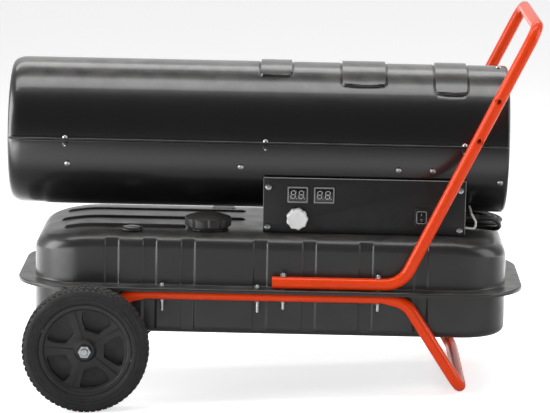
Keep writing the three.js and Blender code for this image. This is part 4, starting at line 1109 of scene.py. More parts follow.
class HEATER_OT_tank_upper(Piece, bpy.types.Operator):
    """Builds the tank's upper pressing with flutes, beads, boss and flange"""
    bl_idname = "heater.tank_upper"
    bl_label = "Upper tank pressing"

    def build(self):
        bend = TANK_TOP - TANK_SHOULDER
        profile = [(-FLANGE_WIDTH, FLANGE_TOP - 6.2, 0), (-FLANGE_WIDTH, FLANGE_TOP - 4, 0)]
        profile += corner_arc(FLANGE_EDGE - FLANGE_WIDTH, FLANGE_TOP - FLANGE_EDGE,
                              FLANGE_EDGE, 0, 90, 5)
        profile += [(-19, FLANGE_TOP, 90), (-10, FLANGE_TOP, 90)]
        profile += corner_arc(-FLANGE_ROOT, FLANGE_TOP + FLANGE_ROOT, -FLANGE_ROOT, 90, 0, 5)
        profile += [(0, height, 0) for height in
                    arc(FLANGE_TOP + 5.5, bend - 24, 10) + arc(bend - 19, bend - 4, 4)]
        profile += corner_arc(TANK_SHOULDER, bend, TANK_SHOULDER, 0, 90, 16)
        profile += [(inset, TANK_TOP, 90) for inset in
                    (23.5, 28, 34, 40, 46, 52, 58, 64, 70, 84, 100, 116, 132, 146, 154.5)]
        body = closed_pan(profile, FLANGE_TOP - 0.6, TANK_TOP - 0.4, True, True)
        beads = [bead(row) for row in BEADS]
        boss = turned([(0, 3.2), (12, 3.2), (13.5, 2.2), (15, 2.2), (16.5, 3.2), (18, 3.0),
                       (20, 1.6), (20.6, -0.6), (0, -0.6)], at=(*BOSS_PLACE, TANK_TOP))
        settle(fused(body, *beads, boss), "tank_top_pressing", "tank", "tank_upper", smooth=40)


class HEATER_OT_tank_lower(Piece, bpy.types.Operator):
    """Builds the tank's lower pressing, with its flutes, flange and drain plug"""
    bl_idname = "heater.tank_lower"
    bl_label = "Lower tank pressing"

    def build(self):
        join = FLANGE_TOP - SHEET - 0.3
        profile = [(-24.8, join, 90), (-16, join, 90), (-8, join, 90)]
        profile += corner_arc(-FLANGE_ROOT, join - FLANGE_ROOT, -FLANGE_ROOT, -90, 0, 5)
        base = TANK_BOTTOM + TANK_EDGE
        profile += [(0, height, 0) for height in arc(join - 5, base + 6, 12)]
        profile += corner_arc(TANK_EDGE, base, TANK_EDGE, 0, -90, 8)
        profile += [(inset, TANK_BOTTOM, -90) for inset in
                    (18, 30, 45, 60, 75, 95, 115, 135, 154.5)]
        tank = closed_pan(profile, TANK_BOTTOM + 5, join - 2, False, False)
        settle(tank, "tank_base_pressing", "tank", "tank_lower", smooth=40)
        plug = hex_nut(11, TANK_BOTTOM - 6, TANK_BOTTOM - 1.2)
        washer = rod(13, TANK_BOTTOM - 1.2, TANK_BOTTOM - 0.2)
        stud = threaded(7.6, TANK_BOTTOM - 0.3, TANK_BOTTOM + 6, 1.25)
        plug = moved(fused(plug, washer, stud), shift(DRAIN_PLACE))
        settle(plug, "drain_plug_hex", "zinc", "drain_plug")


class HEATER_OT_filler_cap(Piece, bpy.types.Operator):
    """Builds the lobed filler cap with its coned crown"""
    bl_idname = "heater.filler_cap"
    bl_label = "Filler cap"

    def build(self):
        size = sizes()
        rings = [(0.0, 9.5, 0), (0.84, 9.5, 0), (0.84, 0.4, 0.0), (0.87, 0, 0),
                 (0.89, 0.6, 0), (0.89, 2.2, 0), (0.98, 2.4, 0.9), (1.0, 3.2, 1), (1.0, 7, 1),
                 (1.0, 11, 1), (1.0, 14, 1), (0.99, 15.4, 0.9), (0.97, 16.4, 0.5),
                 (0.93, 17.2, 0.1), (0.86, 18.0, 0), (0.74, 19.4, 0), (0.6, 21.2, 0),
                 (0.48, 22.6, 0), (0.38, 23.6, 0), (0.28, 24.2, 0), (0.14, 24.5, 0),
                 (0.0, 24.5, 0)]
        cap = drawn(rings, in_mm(size.cap), (*CAP_PLACE, TANK_TOP + 3.8), size.cap_lobes,
                    2.6, 9, 24)
        settle(cap, "filler_cap", "hub", "fuel_cap", body="cap", smooth=32)


class HEATER_OT_fuel_gauge(Piece, bpy.types.Operator):
    """Builds the fuel gauge: bezel, stem, ticked face and window"""
    bl_idname = "heater.fuel_gauge"
    bl_label = "Fuel gauge"

    def build(self):
        radius = in_mm(sizes().gauge)
        seat = TANK_TOP + 0.3
        at = (*GAUGE_PLACE, 0)
        body = turned([(0, -12), (radius - 5.3, -12), (radius - 5.3, 0), (radius - 0.6, 0),
                       (radius, 0.6), (radius, 2.6), (radius - 0.5, 3.8), (radius - 1.6, 4.8),
                       (radius - 2.8, 5.2), (radius - 3.7, 4.6), (radius - 4.1, 3.9),
                       (radius - 4.1, 1.4), (0, 1.4)], at=(*GAUGE_PLACE, seat), steps=72)
        hanger = moved(block(-4, 4, -9, -5.5, seat - 48, seat - 11, 0.5), shift(*at))
        pin = rod(1.5, -6, 5, "y", (at[0], at[1], seat - 40), 24)
        settle(fused(body, hanger, pin), "gauge_body", "plastic", "fuel_gauge", smooth=36)
        ticks = [moved(block(-0.45, 0.45, 11.3 if index % 3 else 10.0, 13.2, seat + 1.3,
                             seat + 1.6), shift(*at) @ rolled(-52 + index * 16, "Z"))
                 for index in range(7)]
        settle(fused(*ticks), "gauge_ticks", "marks", smooth=0)
        lens = turned([(0, 3.9), (radius - 4.4, 3.9), (radius - 4.4, 4.6), (radius - 5.2, 5.2),
                       (radius * 0.4, 6.0), (0, 6.2)], at=(*GAUGE_PLACE, seat))
        settle(lens, "gauge_window", "lens")


# ---------------------------------------------------------------- the control panel

BARS = (      # the seven bars of a figure: middle across, middle up, upright or not
    (0, 1, False), (0.5, 0.5, True), (0.5, -0.5, True), (0, -1, False),
    (-0.5, -0.5, True), (-0.5, 0.5, True), (0, 0, False),
)
BAR_WIDTH = 1.4


def figure(x, z, y, width, height):
    """The seven slanted bars of an unlit figure and its point."""
    bars = []
    wide = BAR_WIDTH / 2
    for across, up, upright in BARS:
        end = height * 0.195 if upright else width * 0.38
        bar = slab([(-end, 0), (wide - end, -wide), (end - wide, -wide), (end, 0),
                    (end - wide, wide), (wide - end, wide)], "xy", 0.25, 0)
        bars.append(moved(bar, shift(across * width, up * height * 0.43)
                          @ rolled(90 if upright else 0, "Z")))
    bars.append(rod(0.7, 0, 0.25, at=(width * 0.86, -height * 0.44, 0), steps=16))
    slant = Matrix.Identity(4)
    slant[0][1] = 0.1
    return moved(fused(*bars), facing_front(x, z, y) @ slant)


def on_panel(x, z, half_x, half_z, out, back, round_=0.0):
    """A block about a place on the panel, from before its front to behind it."""
    return block(x - half_x, x + half_x, PANEL_FRONT - out, PANEL_FRONT + back,
                 z - half_z, z + half_z, round_)


class HEATER_OT_control_panel(Piece, bpy.types.Operator):
    """Builds the panel's plate, cut for its displays, knob and switch, with its screws and
    painted edge highlights
    """
    bl_idname = "heater.control_panel"
    bl_label = "Control panel"

    def build(self):
        left, right, low, high = PANEL
        plate = block(left, right, PANEL_FRONT, PANEL_FRONT + SHEET, low, high, 0.7, 3)
        tools = [on_panel(x, DISPLAY_HEIGHT, 18.3, 14.8, 5, 6) for name, x in DISPLAYS]
        tools.append(on_panel(*SWITCH_PLACE, 10, 13.2, 5, 6))
        x, z = KNOB_PLACE
        tools.append(rod(4, -6, 6, "y", (x, PANEL_FRONT, z), 32))
        settle(bored(plate, *tools), "panel_plate", "panel", "control_panel")
        # Thin light grey strips along the plate's top and side edges: painted highlights of the
        # edges' bevels
        edges = [block(left, right, PANEL_FRONT - 0.2, PANEL_FRONT + 1.4, high - 1.2,
                       high + 0.2, 0.3)]
        edges += [block(x - 0.45, x + 0.45, PANEL_FRONT - 0.2, PANEL_FRONT + 1.4, low + 2,
                        high - 1.3, 0.2) for x in (left + 0.3, right - 0.3)]
        settle(fused(*edges), "panel_painted_edge_highlight", "border")
        screws = laid(pan_screw(5.4, 2.6), [facing_front(x, z, PANEL_FRONT)
                                            for x, z in PANEL_SCREWS])
        settle(fused(*screws), "panel_screws", "zinc")


class HEATER_OT_displays(Piece, bpy.types.Operator):
    """Builds both displays: body, grey frame, dark window and unlit figures"""
    bl_idname = "heater.displays"
    bl_label = "Displays"

    def build(self):
        for name, x in DISPLAYS:
            z = DISPLAY_HEIGHT
            body = on_panel(x, z, 18, 14.5, 1.0, 12, 0.5)
            bored(body, on_panel(x, z, 14.6, 10.6, 3, 0.4))
            settle(body, name + "_body", "plastic", name)
            rim = slab(box_outline(33.6, 26.6, 1.2), "xz", 1.0, PANEL_FRONT - 1.7, 0.25)
            bored(rim, slab(box_outline(29.4, 22.0, 0.8), "xz", 4, PANEL_FRONT - 3))
            moved(rim, shift(x, 0, z))
            settle(rim, name + "_frame", "border")
            window = on_panel(x, z, 14.4, 10.4, 0.3, 0.3, 0.2)
            settle(window, name + "_window", "screen")
            figures = [figure(x + side * 6.6 - 0.8, z, PANEL_FRONT - 0.25, 7.0, 14.5)
                       for side in (-1, 1)]
            settle(fused(*figures), name + "_figures", "segments", smooth=0)


class HEATER_OT_knob(Piece, bpy.types.Operator):
    """Builds the thermostat's lobed knob with its index mark"""
    bl_idname = "heater.knob"
    bl_label = "Thermostat knob"

    def build(self):
        size = sizes()
        rings = [(0.0, 0, 0), (0.9, 0, 0.6), (0.98, 0.3, 1), (1.0, 1.2, 1), (1.0, 5, 1),
                 (0.985, 9.5, 1), (0.96, 12.2, 1), (0.92, 13.6, 0.9), (0.86, 14.5, 0.6),
                 (0.8, 14.8, 0.2), (0.74, 14.7, 0), (0.7, 14.5, 0), (0.4, 14.4, 0),
                 (0.0, 14.4, 0)]
        knob = drawn(rings, in_mm(size.knob), (0, 0, 0), size.knob_lobes, 1.5, 0.8)
        bored(knob, rod(3.9, -1, 3.4, steps=24),
              block(-0.8, 0.8, 6, 13, 13.9, 16))
        moved(knob, facing_front(*KNOB_PLACE, PANEL_FRONT - 0.3))
        settle(knob, "thermostat_grip", "knob", "thermostat_knob", body="thermostat_dial",
               smooth=36)


class HEATER_OT_switch(Piece, bpy.types.Operator):
    """Builds the rocker switch, its light border and its two marks"""
    bl_idname = "heater.switch"
    bl_label = "Rocker switch"

    def build(self):
        x, z = SWITCH_PLACE
        bezel = slab(box_outline(23, 30, 1.5), "xz", 1.7, PANEL_FRONT - 2, 0.4)
        moved(bezel, shift(x, 0, z))
        body = fused(bezel, on_panel(x, z, 9.6, 12.8, 1, 21.5))
        bored(body, on_panel(x, z, 7.4, 11, 4, 11))
        settle(body, "switch_case", "plastic", "switch_body")
        border = slab(box_outline(17.2, 21.4, 3.4), "xz", 0.9, PANEL_FRONT - 2.7, 0.3)
        bored(border, slab(box_outline(14.2, 18.4, 2.2), "xz", 4, PANEL_FRONT - 4))
        moved(border, shift(x, 0, z - 0.6))
        settle(border, "switch_border", "border")
        front = PANEL_FRONT
        rocker = slab([(front - 4.2, z - 7.2), (front - 1.7, z - 0.4), (front - 0.6, z + 6.4),
                       (front + 3.4, z + 6.4), (front + 6, z), (front + 0.4, z - 7.0)],
                      "yz", 13.0, x - 6.5, 0.6, 3)
        settle(rocker, "switch_rocker_cap", "plastic", "switch_rocker", body="rocker")
        upper = block(x - 0.5, x + 0.5, front - 1.5, front - 1.0, z + 2, z + 5.6)
        ring = turned([(1.6, -0.3), (2.3, -0.3), (2.3, 0.5), (1.6, 0.5), (1.6, -0.3)],
                      "y", (0, 0, 0), 28)
        moved(ring, shift(x, front - 3.2, z - 5.4)
              @ rolled(-17, "X"))
        settle(fused(upper, ring), "switch_marks", "marks", body="rocker")


# -------------------------------------------------------------- the frame and wheels

def both_ways(corners, radii):
    """A bent path on the near side, (x, z) corners, across to the far side and back."""
    near = [(x, -TUBE_SPAN, z) for x, z in corners]
    far = [(x, TUBE_SPAN, z) for x, z in reversed(corners)]
    ends = radii[-1]
    return bent(near + far, (*radii[:-1], ends, ends, *reversed(radii[:-1])), 12)


class HEATER_OT_wheel_frame(Piece, bpy.types.Operator):
    """Bends the lower tube: forks at the axle, rails, and the leg that joins them"""
    bl_idname = "heater.wheel_frame"
    bl_label = "Wheel frame"

    def build(self):
        radius = in_mm(sizes().tube)
        tube = pipe(stepped(both_ways(FRAME_PATH, FRAME_BENDS), 6), radius, 6)
        self.flatten(tube, radius)
        x, z = AXLE
        heads = [turned([(7.4, -12.5), (12.5, -12.5), (14, -11), (14, 11), (12.5, 12.5),
                         (7.4, 12.5), (7.4, -12.5)], "y", (x, side * TUBE_SPAN, z), 48)
                 for side in (-1, 1)]
        settle(fused(tube, *heads), "wheel_frame_tube", "tubes", "wheel_frame", smooth=40)

    def flatten(self, tube, radius):
        """Presses the bolted rails flat from below, between the two bends."""
        top = FRAME_LEVEL + radius
        for vertex in tube.data.vertices:
            x, y, z = vertex.co
            share = ease(x, *RAIL_FLAT[:2]) * (1 - ease(x, *RAIL_FLAT[2:]))
            if z > FRAME_LEVEL - radius - 6:
                vertex.co.z = top - (top - z) * (1 - 0.19 * share)


class HEATER_OT_handle(Piece, bpy.types.Operator):
    """Bends the open-ended handle tube and presses its two dimpled holes"""
    bl_idname = "heater.handle"
    bl_label = "Handle"

    def build(self):
        radius = in_mm(sizes().tube)
        tube = pipe(both_ways(HANDLE_PATH, HANDLE_BENDS), radius, 6, wall=1.6)
        outside = TUBE_SPAN + radius
        ends = [(x, z, side) for x, z in GRIP_HOLES for side in (-1, 1)]
        hole = turned([(0, -7), (3.1, -7), (3.1, -2.2), (6.6, -0.9), (7.4, 3), (0, 3)],
                      steps=40)
        bored(tube, *laid(hole, [outwards(x, side * outside, z, side)
                                 for x, z, side in ends]))
        ring = turned([(6.3, -2.6), (7.8, -3.4), (7.8, -1.2), (7.3, 0.0), (6.7, 0.2),
                       (6.2, -0.3), (6.3, -2.6)], steps=48)
        rings = laid(ring, [outwards(x, side * (outside - 1.9), z, side)
                            for x, z, side in ends])
        (x0, z0), (x1, z1) = GRIP_HOLES
        share = Vector((x1 - x0, 0, z1 - z0)).normalized() * 7.5
        for side in (-1, 1):
            y = side * (outside + 0.35)
            crease = pipe([Vector((x0, y, z0)) + share, Vector((x1, y, z1)) - share], 0.9, 2)
            bored(tube, crease)
        settle(fused(tube, *rings), "handle_tube", "tubes", "handle", smooth=40)


class HEATER_OT_bolts(Piece, bpy.types.Operator):
    """Sets the eight bolts through flange and tubes, with hex heads, shanks and nuts"""
    bl_idname = "heater.bolts"
    bl_label = "Frame bolts"

    def build(self):
        under = FRAME_LEVEL - 10.5
        for kind, places, seat, reach in (
                ("flange_bolt", FLANGE_BOLTS, FLANGE_TOP + 0.3, 15.5),
                ("handle_bolt", HANDLE_BOLTS, HANDLE_LEVEL + 10.2, 9.5)):
            head = hex_nut(5.3, seat, seat + 4.6)
            shank = turned([(0, under - reach), (2, under - reach), (2.7, under - reach + 0.8),
                            (2.7, seat + 5.6), (2, seat + 6.4), (0, seat + 6.4)], steps=24)
            nut = hex_nut(4.6, under + 1.6, under + 4.2)
            model = fused(head, shank, nut)
            for row, side in SIDES:
                for index, x in enumerate(places, 1):
                    bolt = copied(model, shift(x, side * TUBE_SPAN))
                    name = f"{kind}_{row}_{index}"
                    settle(bolt, name + "_set", "zinc", name)
            bpy.data.objects.remove(model)


class HEATER_OT_axle(Piece, bpy.types.Operator):
    """Builds the axle and its crowned end nuts"""
    bl_idname = "heater.axle"
    bl_label = "Axle"

    def build(self):
        x, z = AXLE
        reach = WHEEL_INNER + WHEEL_WIDTH + 3
        shaft = turned([(0, -reach), (5.6, -reach), (7, -reach + 1.4), (7, reach - 1.4),
                        (5.6, reach), (0, reach)], "y", (x, 0, z), 48)
        settle(shaft, "axle_rod", "zinc", "axle")
        for row, side in SIDES:
            nut = hex_nut(10.5, 0.2, 7.7)
            crown = turned([(0, 7.0), (6.6, 7.0), (6.4, 9.0), (5.6, 10.2), (3, 10.4),
                            (0, 10.4)], steps=48)
            groove = turned([(5.0, 9.6), (5.4, 9.6), (5.4, 11), (5.0, 11), (5.0, 9.6)],
                            steps=48)
            face = side * (WHEEL_INNER + WHEEL_WIDTH + 0.4)
            nut = moved(fused(nut, bored(crown, groove)), outwards(x, face, z, side))
            settle(nut, f"axle_nut_{row}_set", "zinc", f"axle_nut_{row}")


def tyre():
    """A tyre about Z, its inner face at z = 0: carcass, side rings and tread blocks."""
    size = sizes()
    top = in_mm(size.tyre)
    groove = top - 1.2
    profile = [(76.3, 4.2), (78, 2.2), (81, 0.4), (84, 0.1), (84.6, 0.6), (85.4, 0.6),
               (86, 0.1), (89.5, 0.0), (90, 0.6), (90.8, 0.6), (91.4, 0.1), (94, 0.2),
               (97.4, 1.2), (100, 3.4), (groove, 8.4)]
    profile += [(groove, 14.4), (groove - 0.8, 14.8), (groove - 0.8, 15.8), (groove, 16.2),
                (groove, 20.5)]
    mirror = [(radius, WHEEL_WIDTH - along) for radius, along in reversed(profile[:-1])]
    carcass = turned(profile + mirror + [(76.3, 4.2)], steps=96)
    blocks = []
    for foot, wide, head, narrow, width, soft, steps, places in (
            (groove - 3, 3.4, top, 2.9, 9.4, 0.5, 2, ((0, 6.6), (0.5, WHEEL_WIDTH - 16.0))),
            (groove - 2, 2.0, top, 1.5, 6.2, 0.4, 1, ((0.25, 17.4),)),
            (98.6, 1.8, top - 0.9, 2.4, 3.4, 0.4, 1,
             ((0.25, 3.2), (0.25, WHEEL_WIDTH - 6.6)))):
        lug = slab([(foot, -wide), (foot, wide), (head, narrow), (head, -narrow)], "xy",
                   width, 0, soft, steps)
        blocks += laid(lug, [rolled(angle, "Z") @ shift(0, 0, lift) for phase, lift in places
                             for angle in evenly(size.treads, 360 * phase / size.treads)])
    return fused(carcass, *blocks)


def wheel_hub():
    """A moulded hub about Z, its inner face at z = 0: boss, web with pockets and rim."""
    profile = [(7.35, 0), (16, 0), (17, 1), (17, 9), (20, 9.6), (66, 5.2), (69, 4),
               (75.2, 4), (76, 4.8), (76, 36.2), (75.2, 37), (70, 37), (68.4, 36),
               (66.5, 31.5), (62, 30.6), (24, 30.6), (19.5, 31.4), (17, 34), (16, 39.6),
               (14.6, 41), (7.35, 41), (7.35, 0)]
    pocket = bent([(45, 22.5, 0), (31, 11, 0), (31, -11, 0), (60, -27, 0), (66, 0, 0),
                   (60, 27, 0), (45, 22.5, 0)], (5, 5, 6, 24, 6), 6)
    pocket = slab([point[:2] for point in pocket[:-1]], "xy", 26, 15)
    hub = bored(turned(profile, steps=96), *around(pocket, evenly(5, -2), "Z"))
    rib = block(19, 67, -1.1, 1.1, 28, 32.4, 0.5, 2)
    return rounded(fused(hub, *around(rib, evenly(5, 34), "Z")), 0.5, 2, 50)


class HEATER_OT_wheels(Piece, bpy.types.Operator):
    """Builds both wheels: treaded tyres on pocketed hubs"""
    bl_idname = "heater.wheels"
    bl_label = "Wheels"

    def build(self):
        x, z = AXLE
        tread, core = tyre(), wheel_hub()
        for name, side in SIDES:
            lay = outwards(x, side * WHEEL_INNER, z, side) @ rolled(90 + 90 * side, "Z")
            settle(copied(tread, lay), f"tyre_{name}_tread", "tyre", f"tyre_{name}",
                   body=f"wheel_{name}", smooth=38)
            settle(copied(core, lay), f"hub_{name}_moulding", "hub", f"wheel_hub_{name}",
                   body=f"wheel_{name}", smooth=36)
        bpy.data.objects.remove(tread)
        bpy.data.objects.remove(core)


# ------------------------------------------------------------ the fan end and burner

def circle_path(radius, x, count=96):
    return [(x, radius * math.cos(turn), radius * math.sin(turn))
            for turn in arc(0, math.tau, count)[:-1]]


class HEATER_OT_fan_guard(Piece, bpy.types.Operator):
    """Builds the wire guard over the fan end: rings, spokes and a pressed rim"""
    bl_idname = "heater.fan_guard"
    bl_label = "Fan guard"

    def build(self):
        x = GUARD_PLACE
        parts = [pipe(circle_path(radius, x), 1.6, 3, loop=True) for radius in (32, 62, 92)]
        for index in range(8):
            angle = math.radians(22.5 + index * 45)
            out = Vector((0, math.cos(angle), math.sin(angle)))
            start = out * (0 if index % 4 == 0 else 30.5)
            parts.append(pipe([Vector((x - 1.6, 0, 0)) + start,
                               Vector((x - 1.6, 0, 0)) + out * 116.4], 1.6, 3))
        parts.append(turned([(114.5, 405), (119.2, 388), (120.7, 388), (120.7, 398),
                             (119, 403.4), (116, 405), (114.5, 405)], "x", steps=128))
        settle(fused(*parts), "fan_guard_wires", "wire", "fan_guard", smooth=40)


class HEATER_OT_burner(Piece, bpy.types.Operator):
    """Builds the heat-stained chamber, its deflector and the burner head"""
    bl_idname = "heater.burner"
    bl_label = "Burner"

    def build(self):
        start, end = CHAMBER
        outer = [(76, start)]
        for x in (start + 60, start + 150, end - 120, end - 40):
            outer += [(76, x - 5), (77.2, x - 3), (77.6, x), (77.2, x + 3), (76, x + 5)]
        outer += [(76, end - 3), (75, end + 1), (44, 144), (43.4, 147), (43.4, 193.6),
                  (42.4, 193.6), (42.4, 147), (43.2, 144), (73.9, end), (74.8, end - 3),
                  (74.8, start), (76, start)]
        chamber = turned(outer, "x", steps=112)
        holes = []
        for x, count, hole in ((start + 100, 18, 5), (start + 200, 18, 5), (end - 80, 14, 6)):
            holes += laid(rod(hole, 60, 90, steps=16),
                          [shift(x) @ rolled(angle, "X") for angle in evenly(count)])
        bored(chamber, fused(*holes))
        settle(chamber, "chamber_sheet", "burnt", "combustion_chamber")
        ring = turned([(40, -1.8), (75.6, -1.8), (77, -3), (89, -16.2), (90, -16.2), (90, -15.2),
                       (78.2, -2), (76.4, -0.3), (40, -0.3), (40, -1.8)], "x", (start, 0, 0), 96)
        bars = [block(start - 3.2, start - 1.8, -42, 42, -9, 9, 0.3),
                block(start - 3.2, start - 1.8, -9, 9, -42, 42, 0.3)]
        settle(fused(ring, *bars), "deflector_sheet", "burnt", "flame_deflector")
        seat = BURNER_SEAT
        head = turned([(0, -18), (40.8, -18), (42.2, -16.6), (42.2, 0), (53, 0), (54, 0.6),
                       (54, 1.5), (41, 1.5), (40.7, -16.5), (0, -16.5)], "x", (seat, 0, 0), 96)
        bored(head, *around(block(seat - 22, seat - 12, 20, 34, -3, 3, 1.5), evenly(6, 30)))
        settle(head, "burner_head_sheet", "burnt", "burner_head")


class HEATER_OT_motor(Piece, bpy.types.Operator):
    """Builds the motor, the air pump on its rear and the vented filter cover"""
    bl_idname = "heater.motor"
    bl_label = "Motor and pump"

    def build(self):
        rear = MOTOR_REAR
        body = [(0, rear - 88), (13, rear - 88), (14, rear - 87), (14, rear - 84),
                (30, rear - 82), (44, rear - 80), (46, rear - 77)]
        for x in (rear - 70, rear - 12):
            body += [(46, x - 1), (45, x - 0.4), (45, x + 0.4), (46, x + 1)]
        body += [(46, rear - 2), (44, rear), (0, rear)]
        motor = turned(body, "x", steps=80)
        bored(motor, *around(block(rear - 90, rear - 76, 22, 37, -2, 2, 1), evenly(10)))
        flat = Matrix.Scale(0.12, 4, (1, 0, 0)) @ AXES["x"]
        corners = [math.radians(angle) for angle in evenly(4, 45)]
        ties = laid(pan_screw(3.2, 2.0), [
            shift(rear - 0.2, 40 * math.cos(angle), 40 * math.sin(angle)) @ flat
            for angle in corners])
        settle(fused(motor, *ties), "motor_case", "motor", "motor")
        seat = rear + 0.3
        pump = turned([(0, 0), (33, 0), (34, 1), (34, 7), (32.6, 7.6), (32.6, 16), (34, 16.6),
                       (34, 23), (33, 24), (0, 24)], "x", (seat, 0, 0), 80)
        outlet = turned([(0, -44), (4.6, -44), (5, -43.4), (5, -40), (3.8, -39.4),
                         (3.8, -38), (5, -37.4), (5, -28), (0, -28)],
                        at=(seat + 14, 0, 0), steps=32)
        settle(fused(pump, outlet), "air_pump_case", "steel", "air_pump")
        seat += 24.3
        cover = turned([(0, 0), (34, 0), (34, 9), (33.2, 12), (31, 13.6), (27, 14), (26, 13.2),
                        (9, 13.2), (8, 14), (0, 14)], "x", (seat, 0, 0), 80)
        bored(cover, *around(block(seat + 8, seat + 16, 11, 24, -0.9, 0.9, 0.4), evenly(18)))
        settle(cover, "air_filter_case", "plastic", "air_filter_cover")


class HEATER_OT_fan(Piece, bpy.types.Operator):
    """Builds the five-bladed fan with its turned hub"""
    bl_idname = "heater.fan"
    bl_label = "Fan"

    def build(self):
        middle, pitch = FAN_MIDDLE, math.radians(30)
        hub = turned([(5.3, -14), (12, -14), (13, -13), (13, -8), (24, -7), (24, 7), (13, 8),
                      (13, 13), (12, 14), (5.3, 14), (5.3, -14)], "x", (middle, 0, 0), 64)

        def place(angle, radius):
            turn = math.radians((20 + 7 * ease(radius, 30, 100)) * angle)
            across = radius * math.sin(turn)
            belly = 3.0 * (1 - angle * angle) * ease(radius, 22, 60)
            return Vector((middle - across * math.sin(pitch) + belly,
                           across * math.cos(pitch), radius * math.cos(turn)))
        blade = walled(wrapped(arc(-1, 1, 14), [20, 24, 30, 40, 52, 64, 76, 88, 97, 103, 108],
                               place), SHEET, 0)
        blades = around(blade, evenly(5))
        settle(fused(hub, *blades), "fan_wheel", "steel", "fan", body="fan_rotor", smooth=40)


# ------------------------------------------------------------------------- the leads

def rest_level(x):
    return TANK_TOP - 0.35 * droop(x) + 4.25


def cord_route():
    """The mains cord: from its clamp, down one bend, six loops on the tank and a tail."""
    y, z = STRAIN
    turn_x, half = CORD_EXIT + 9.3, COIL_RADIUS
    drop = z - rest_level(COIL_X)
    points = [(CORD_EXIT + 0.3, y, z), (turn_x, y, z - 0.02 * drop)]
    for i in range(1, 9):
        angle = math.radians(-90 + 22.5 * i)
        x = turn_x + CORD_BEND * math.cos(angle)
        points.append((x, y + CORD_BEND * (1 + math.sin(angle)),
                       z + (rest_level(x) - z) * ease(i, 0, 6.5)))
    outer = half + LOOP_PITCH * COIL_TURNS / 4
    centre = y + 2 * CORD_BEND + outer
    loops = COIL_TURNS * math.tau * half
    return points, outer, centre, loops


def coil_point(along, outer, centre, loops):
    turn = min(max(along / loops, 0), 1) * COIL_TURNS
    radius = outer - LOOP_PITCH * min(turn, COIL_TURNS - turn)
    angle = math.radians(-90 - 360 * turn)
    beyond = along if along < 0 else max(0, along - loops)
    x = COIL_X + radius * math.cos(angle) - beyond
    lift = LOOP_PITCH * ease(turn, COIL_TURNS / 2 - 0.25, COIL_TURNS / 2 + 0.25)
    return (x, centre + radius * math.sin(angle), rest_level(x) + lift)


class HEATER_OT_cord(Piece, bpy.types.Operator):
    """Lays the mains cord on the tank, with its clamp and its bare-pinned plug"""
    bl_idname = "heater.cord"
    bl_label = "Mains cord"

    def build(self):
        points, outer, centre, loops = cord_route()
        total = loops + CORD_TAIL + 7
        points += [coil_point(total * share - 7, outer, centre, loops)
                   for share in arc(0, 1, 220)[1:]]
        path = [TO_WORLD @ Vector(point) for point in points]
        run = sum((b - a).length for a, b in zip(path, path[1:]))
        cord = curve_of(path, sizes().cord / 2, 5)
        cord.data.use_fill_caps = True
        settle(cord, "mains_cord", "rubber", "cord_tube", "cord_coil", smooth=0)
        y, z = STRAIN
        clamp = turned([(0, 335.5), (5.7, 335.5), (5.7, 341.3), (8.4, 341.3), (8.4, 343.6),
                        (7.8, 344.3), (6.4, 344.6), (6.2, 348), (5.6, 348.2), (5.6, 349.6),
                        (6.0, 349.8), (5.8, 353), (5.2, 353.2), (5.2, 354.6), (5.6, 354.8),
                        (5.3, 358), (4.9, 358.2), (4.9, 359.6), (5.2, 359.8), (4.9, 365.6),
                        (4.5, 366.3), (0, 366.3)], "x", (0, y, z), 48)
        settle(clamp, "cord_clamp", "plastic", "strain_relief")
        end = Vector(points[-1])
        tip, level = end.x - 0.3, TANK_TOP + 10.3
        sleeve = turned([(0, 0), (4.3, 0), (4.8, 1), (5.0, 5), (4.5, 5.6), (5.3, 7.4),
                         (5.4, 10), (4.9, 10.6), (5.8, 12.4), (6.4, 18.5), (0, 18.5)],
                        steps=48)
        lay = Vector((-18, 0, level - end.z)).to_track_quat("Z", "Y").to_matrix().to_4x4()
        moved(sleeve, shift(tip, end.y, end.z) @ lay)
        body = block(tip - 48, tip - 18, end.y - 12.5, end.y + 12.5, level - 10, level + 10,
                     4, 4)
        pins = [block(tip - 64, tip - 46, end.y + side * 6.4 - 0.8, end.y + side * 6.4 + 0.8,
                      level - 2.2, level + 4.2, 0.3) for side in (-1, 1)]
        pins.append(turned([(0, tip - 66), (1.4, tip - 66), (2.4, tip - 64.6),
                            (2.4, tip - 46), (0, tip - 46)], "x", (0, end.y, level - 5), 32))
        plug = settle(fused(body, sleeve), "plug_body", "plastic", "mains_plug")
        pin = settle(fused(*pins), "plug_pins", "brass")


class HEATER_OT_sensor_lead(Piece, bpy.types.Operator):
    """Lays the thin grey lead that leaves the control box and turns up into the barrel"""
    bl_idname = "heater.sensor_lead"
    bl_label = "Sensor lead"

    def build(self):
        low = TANK_TOP + 12.5
        lead = pipe(bent([(341.3, -104, low), (360.3, -104, low - 1), (361.3, -102, -124),
                          (354.3, -97, -112), (351.3, -72, -103)], (5, 5, 5), 8), 2.0, 4)
        settle(lead, "sensor_lead", "hose", "fuel_hose")


# ------------------------------------------------------------------------- the stage

def lamp(name, place, towards, width, height, power):
    data = bpy.data.lights.new(name, "AREA")
    data.shape = "RECTANGLE"
    data.size, data.size_y = width, height
    data.energy = power
    obj = bpy.data.objects.new(name, data)
    bpy.context.scene.collection.objects.link(obj)
    way = Vector(towards) - Vector(place)
    obj.matrix_world = Matrix.Translation(place) @ \
        way.to_track_quat("-Z", "Y").to_matrix().to_4x4()
    return obj


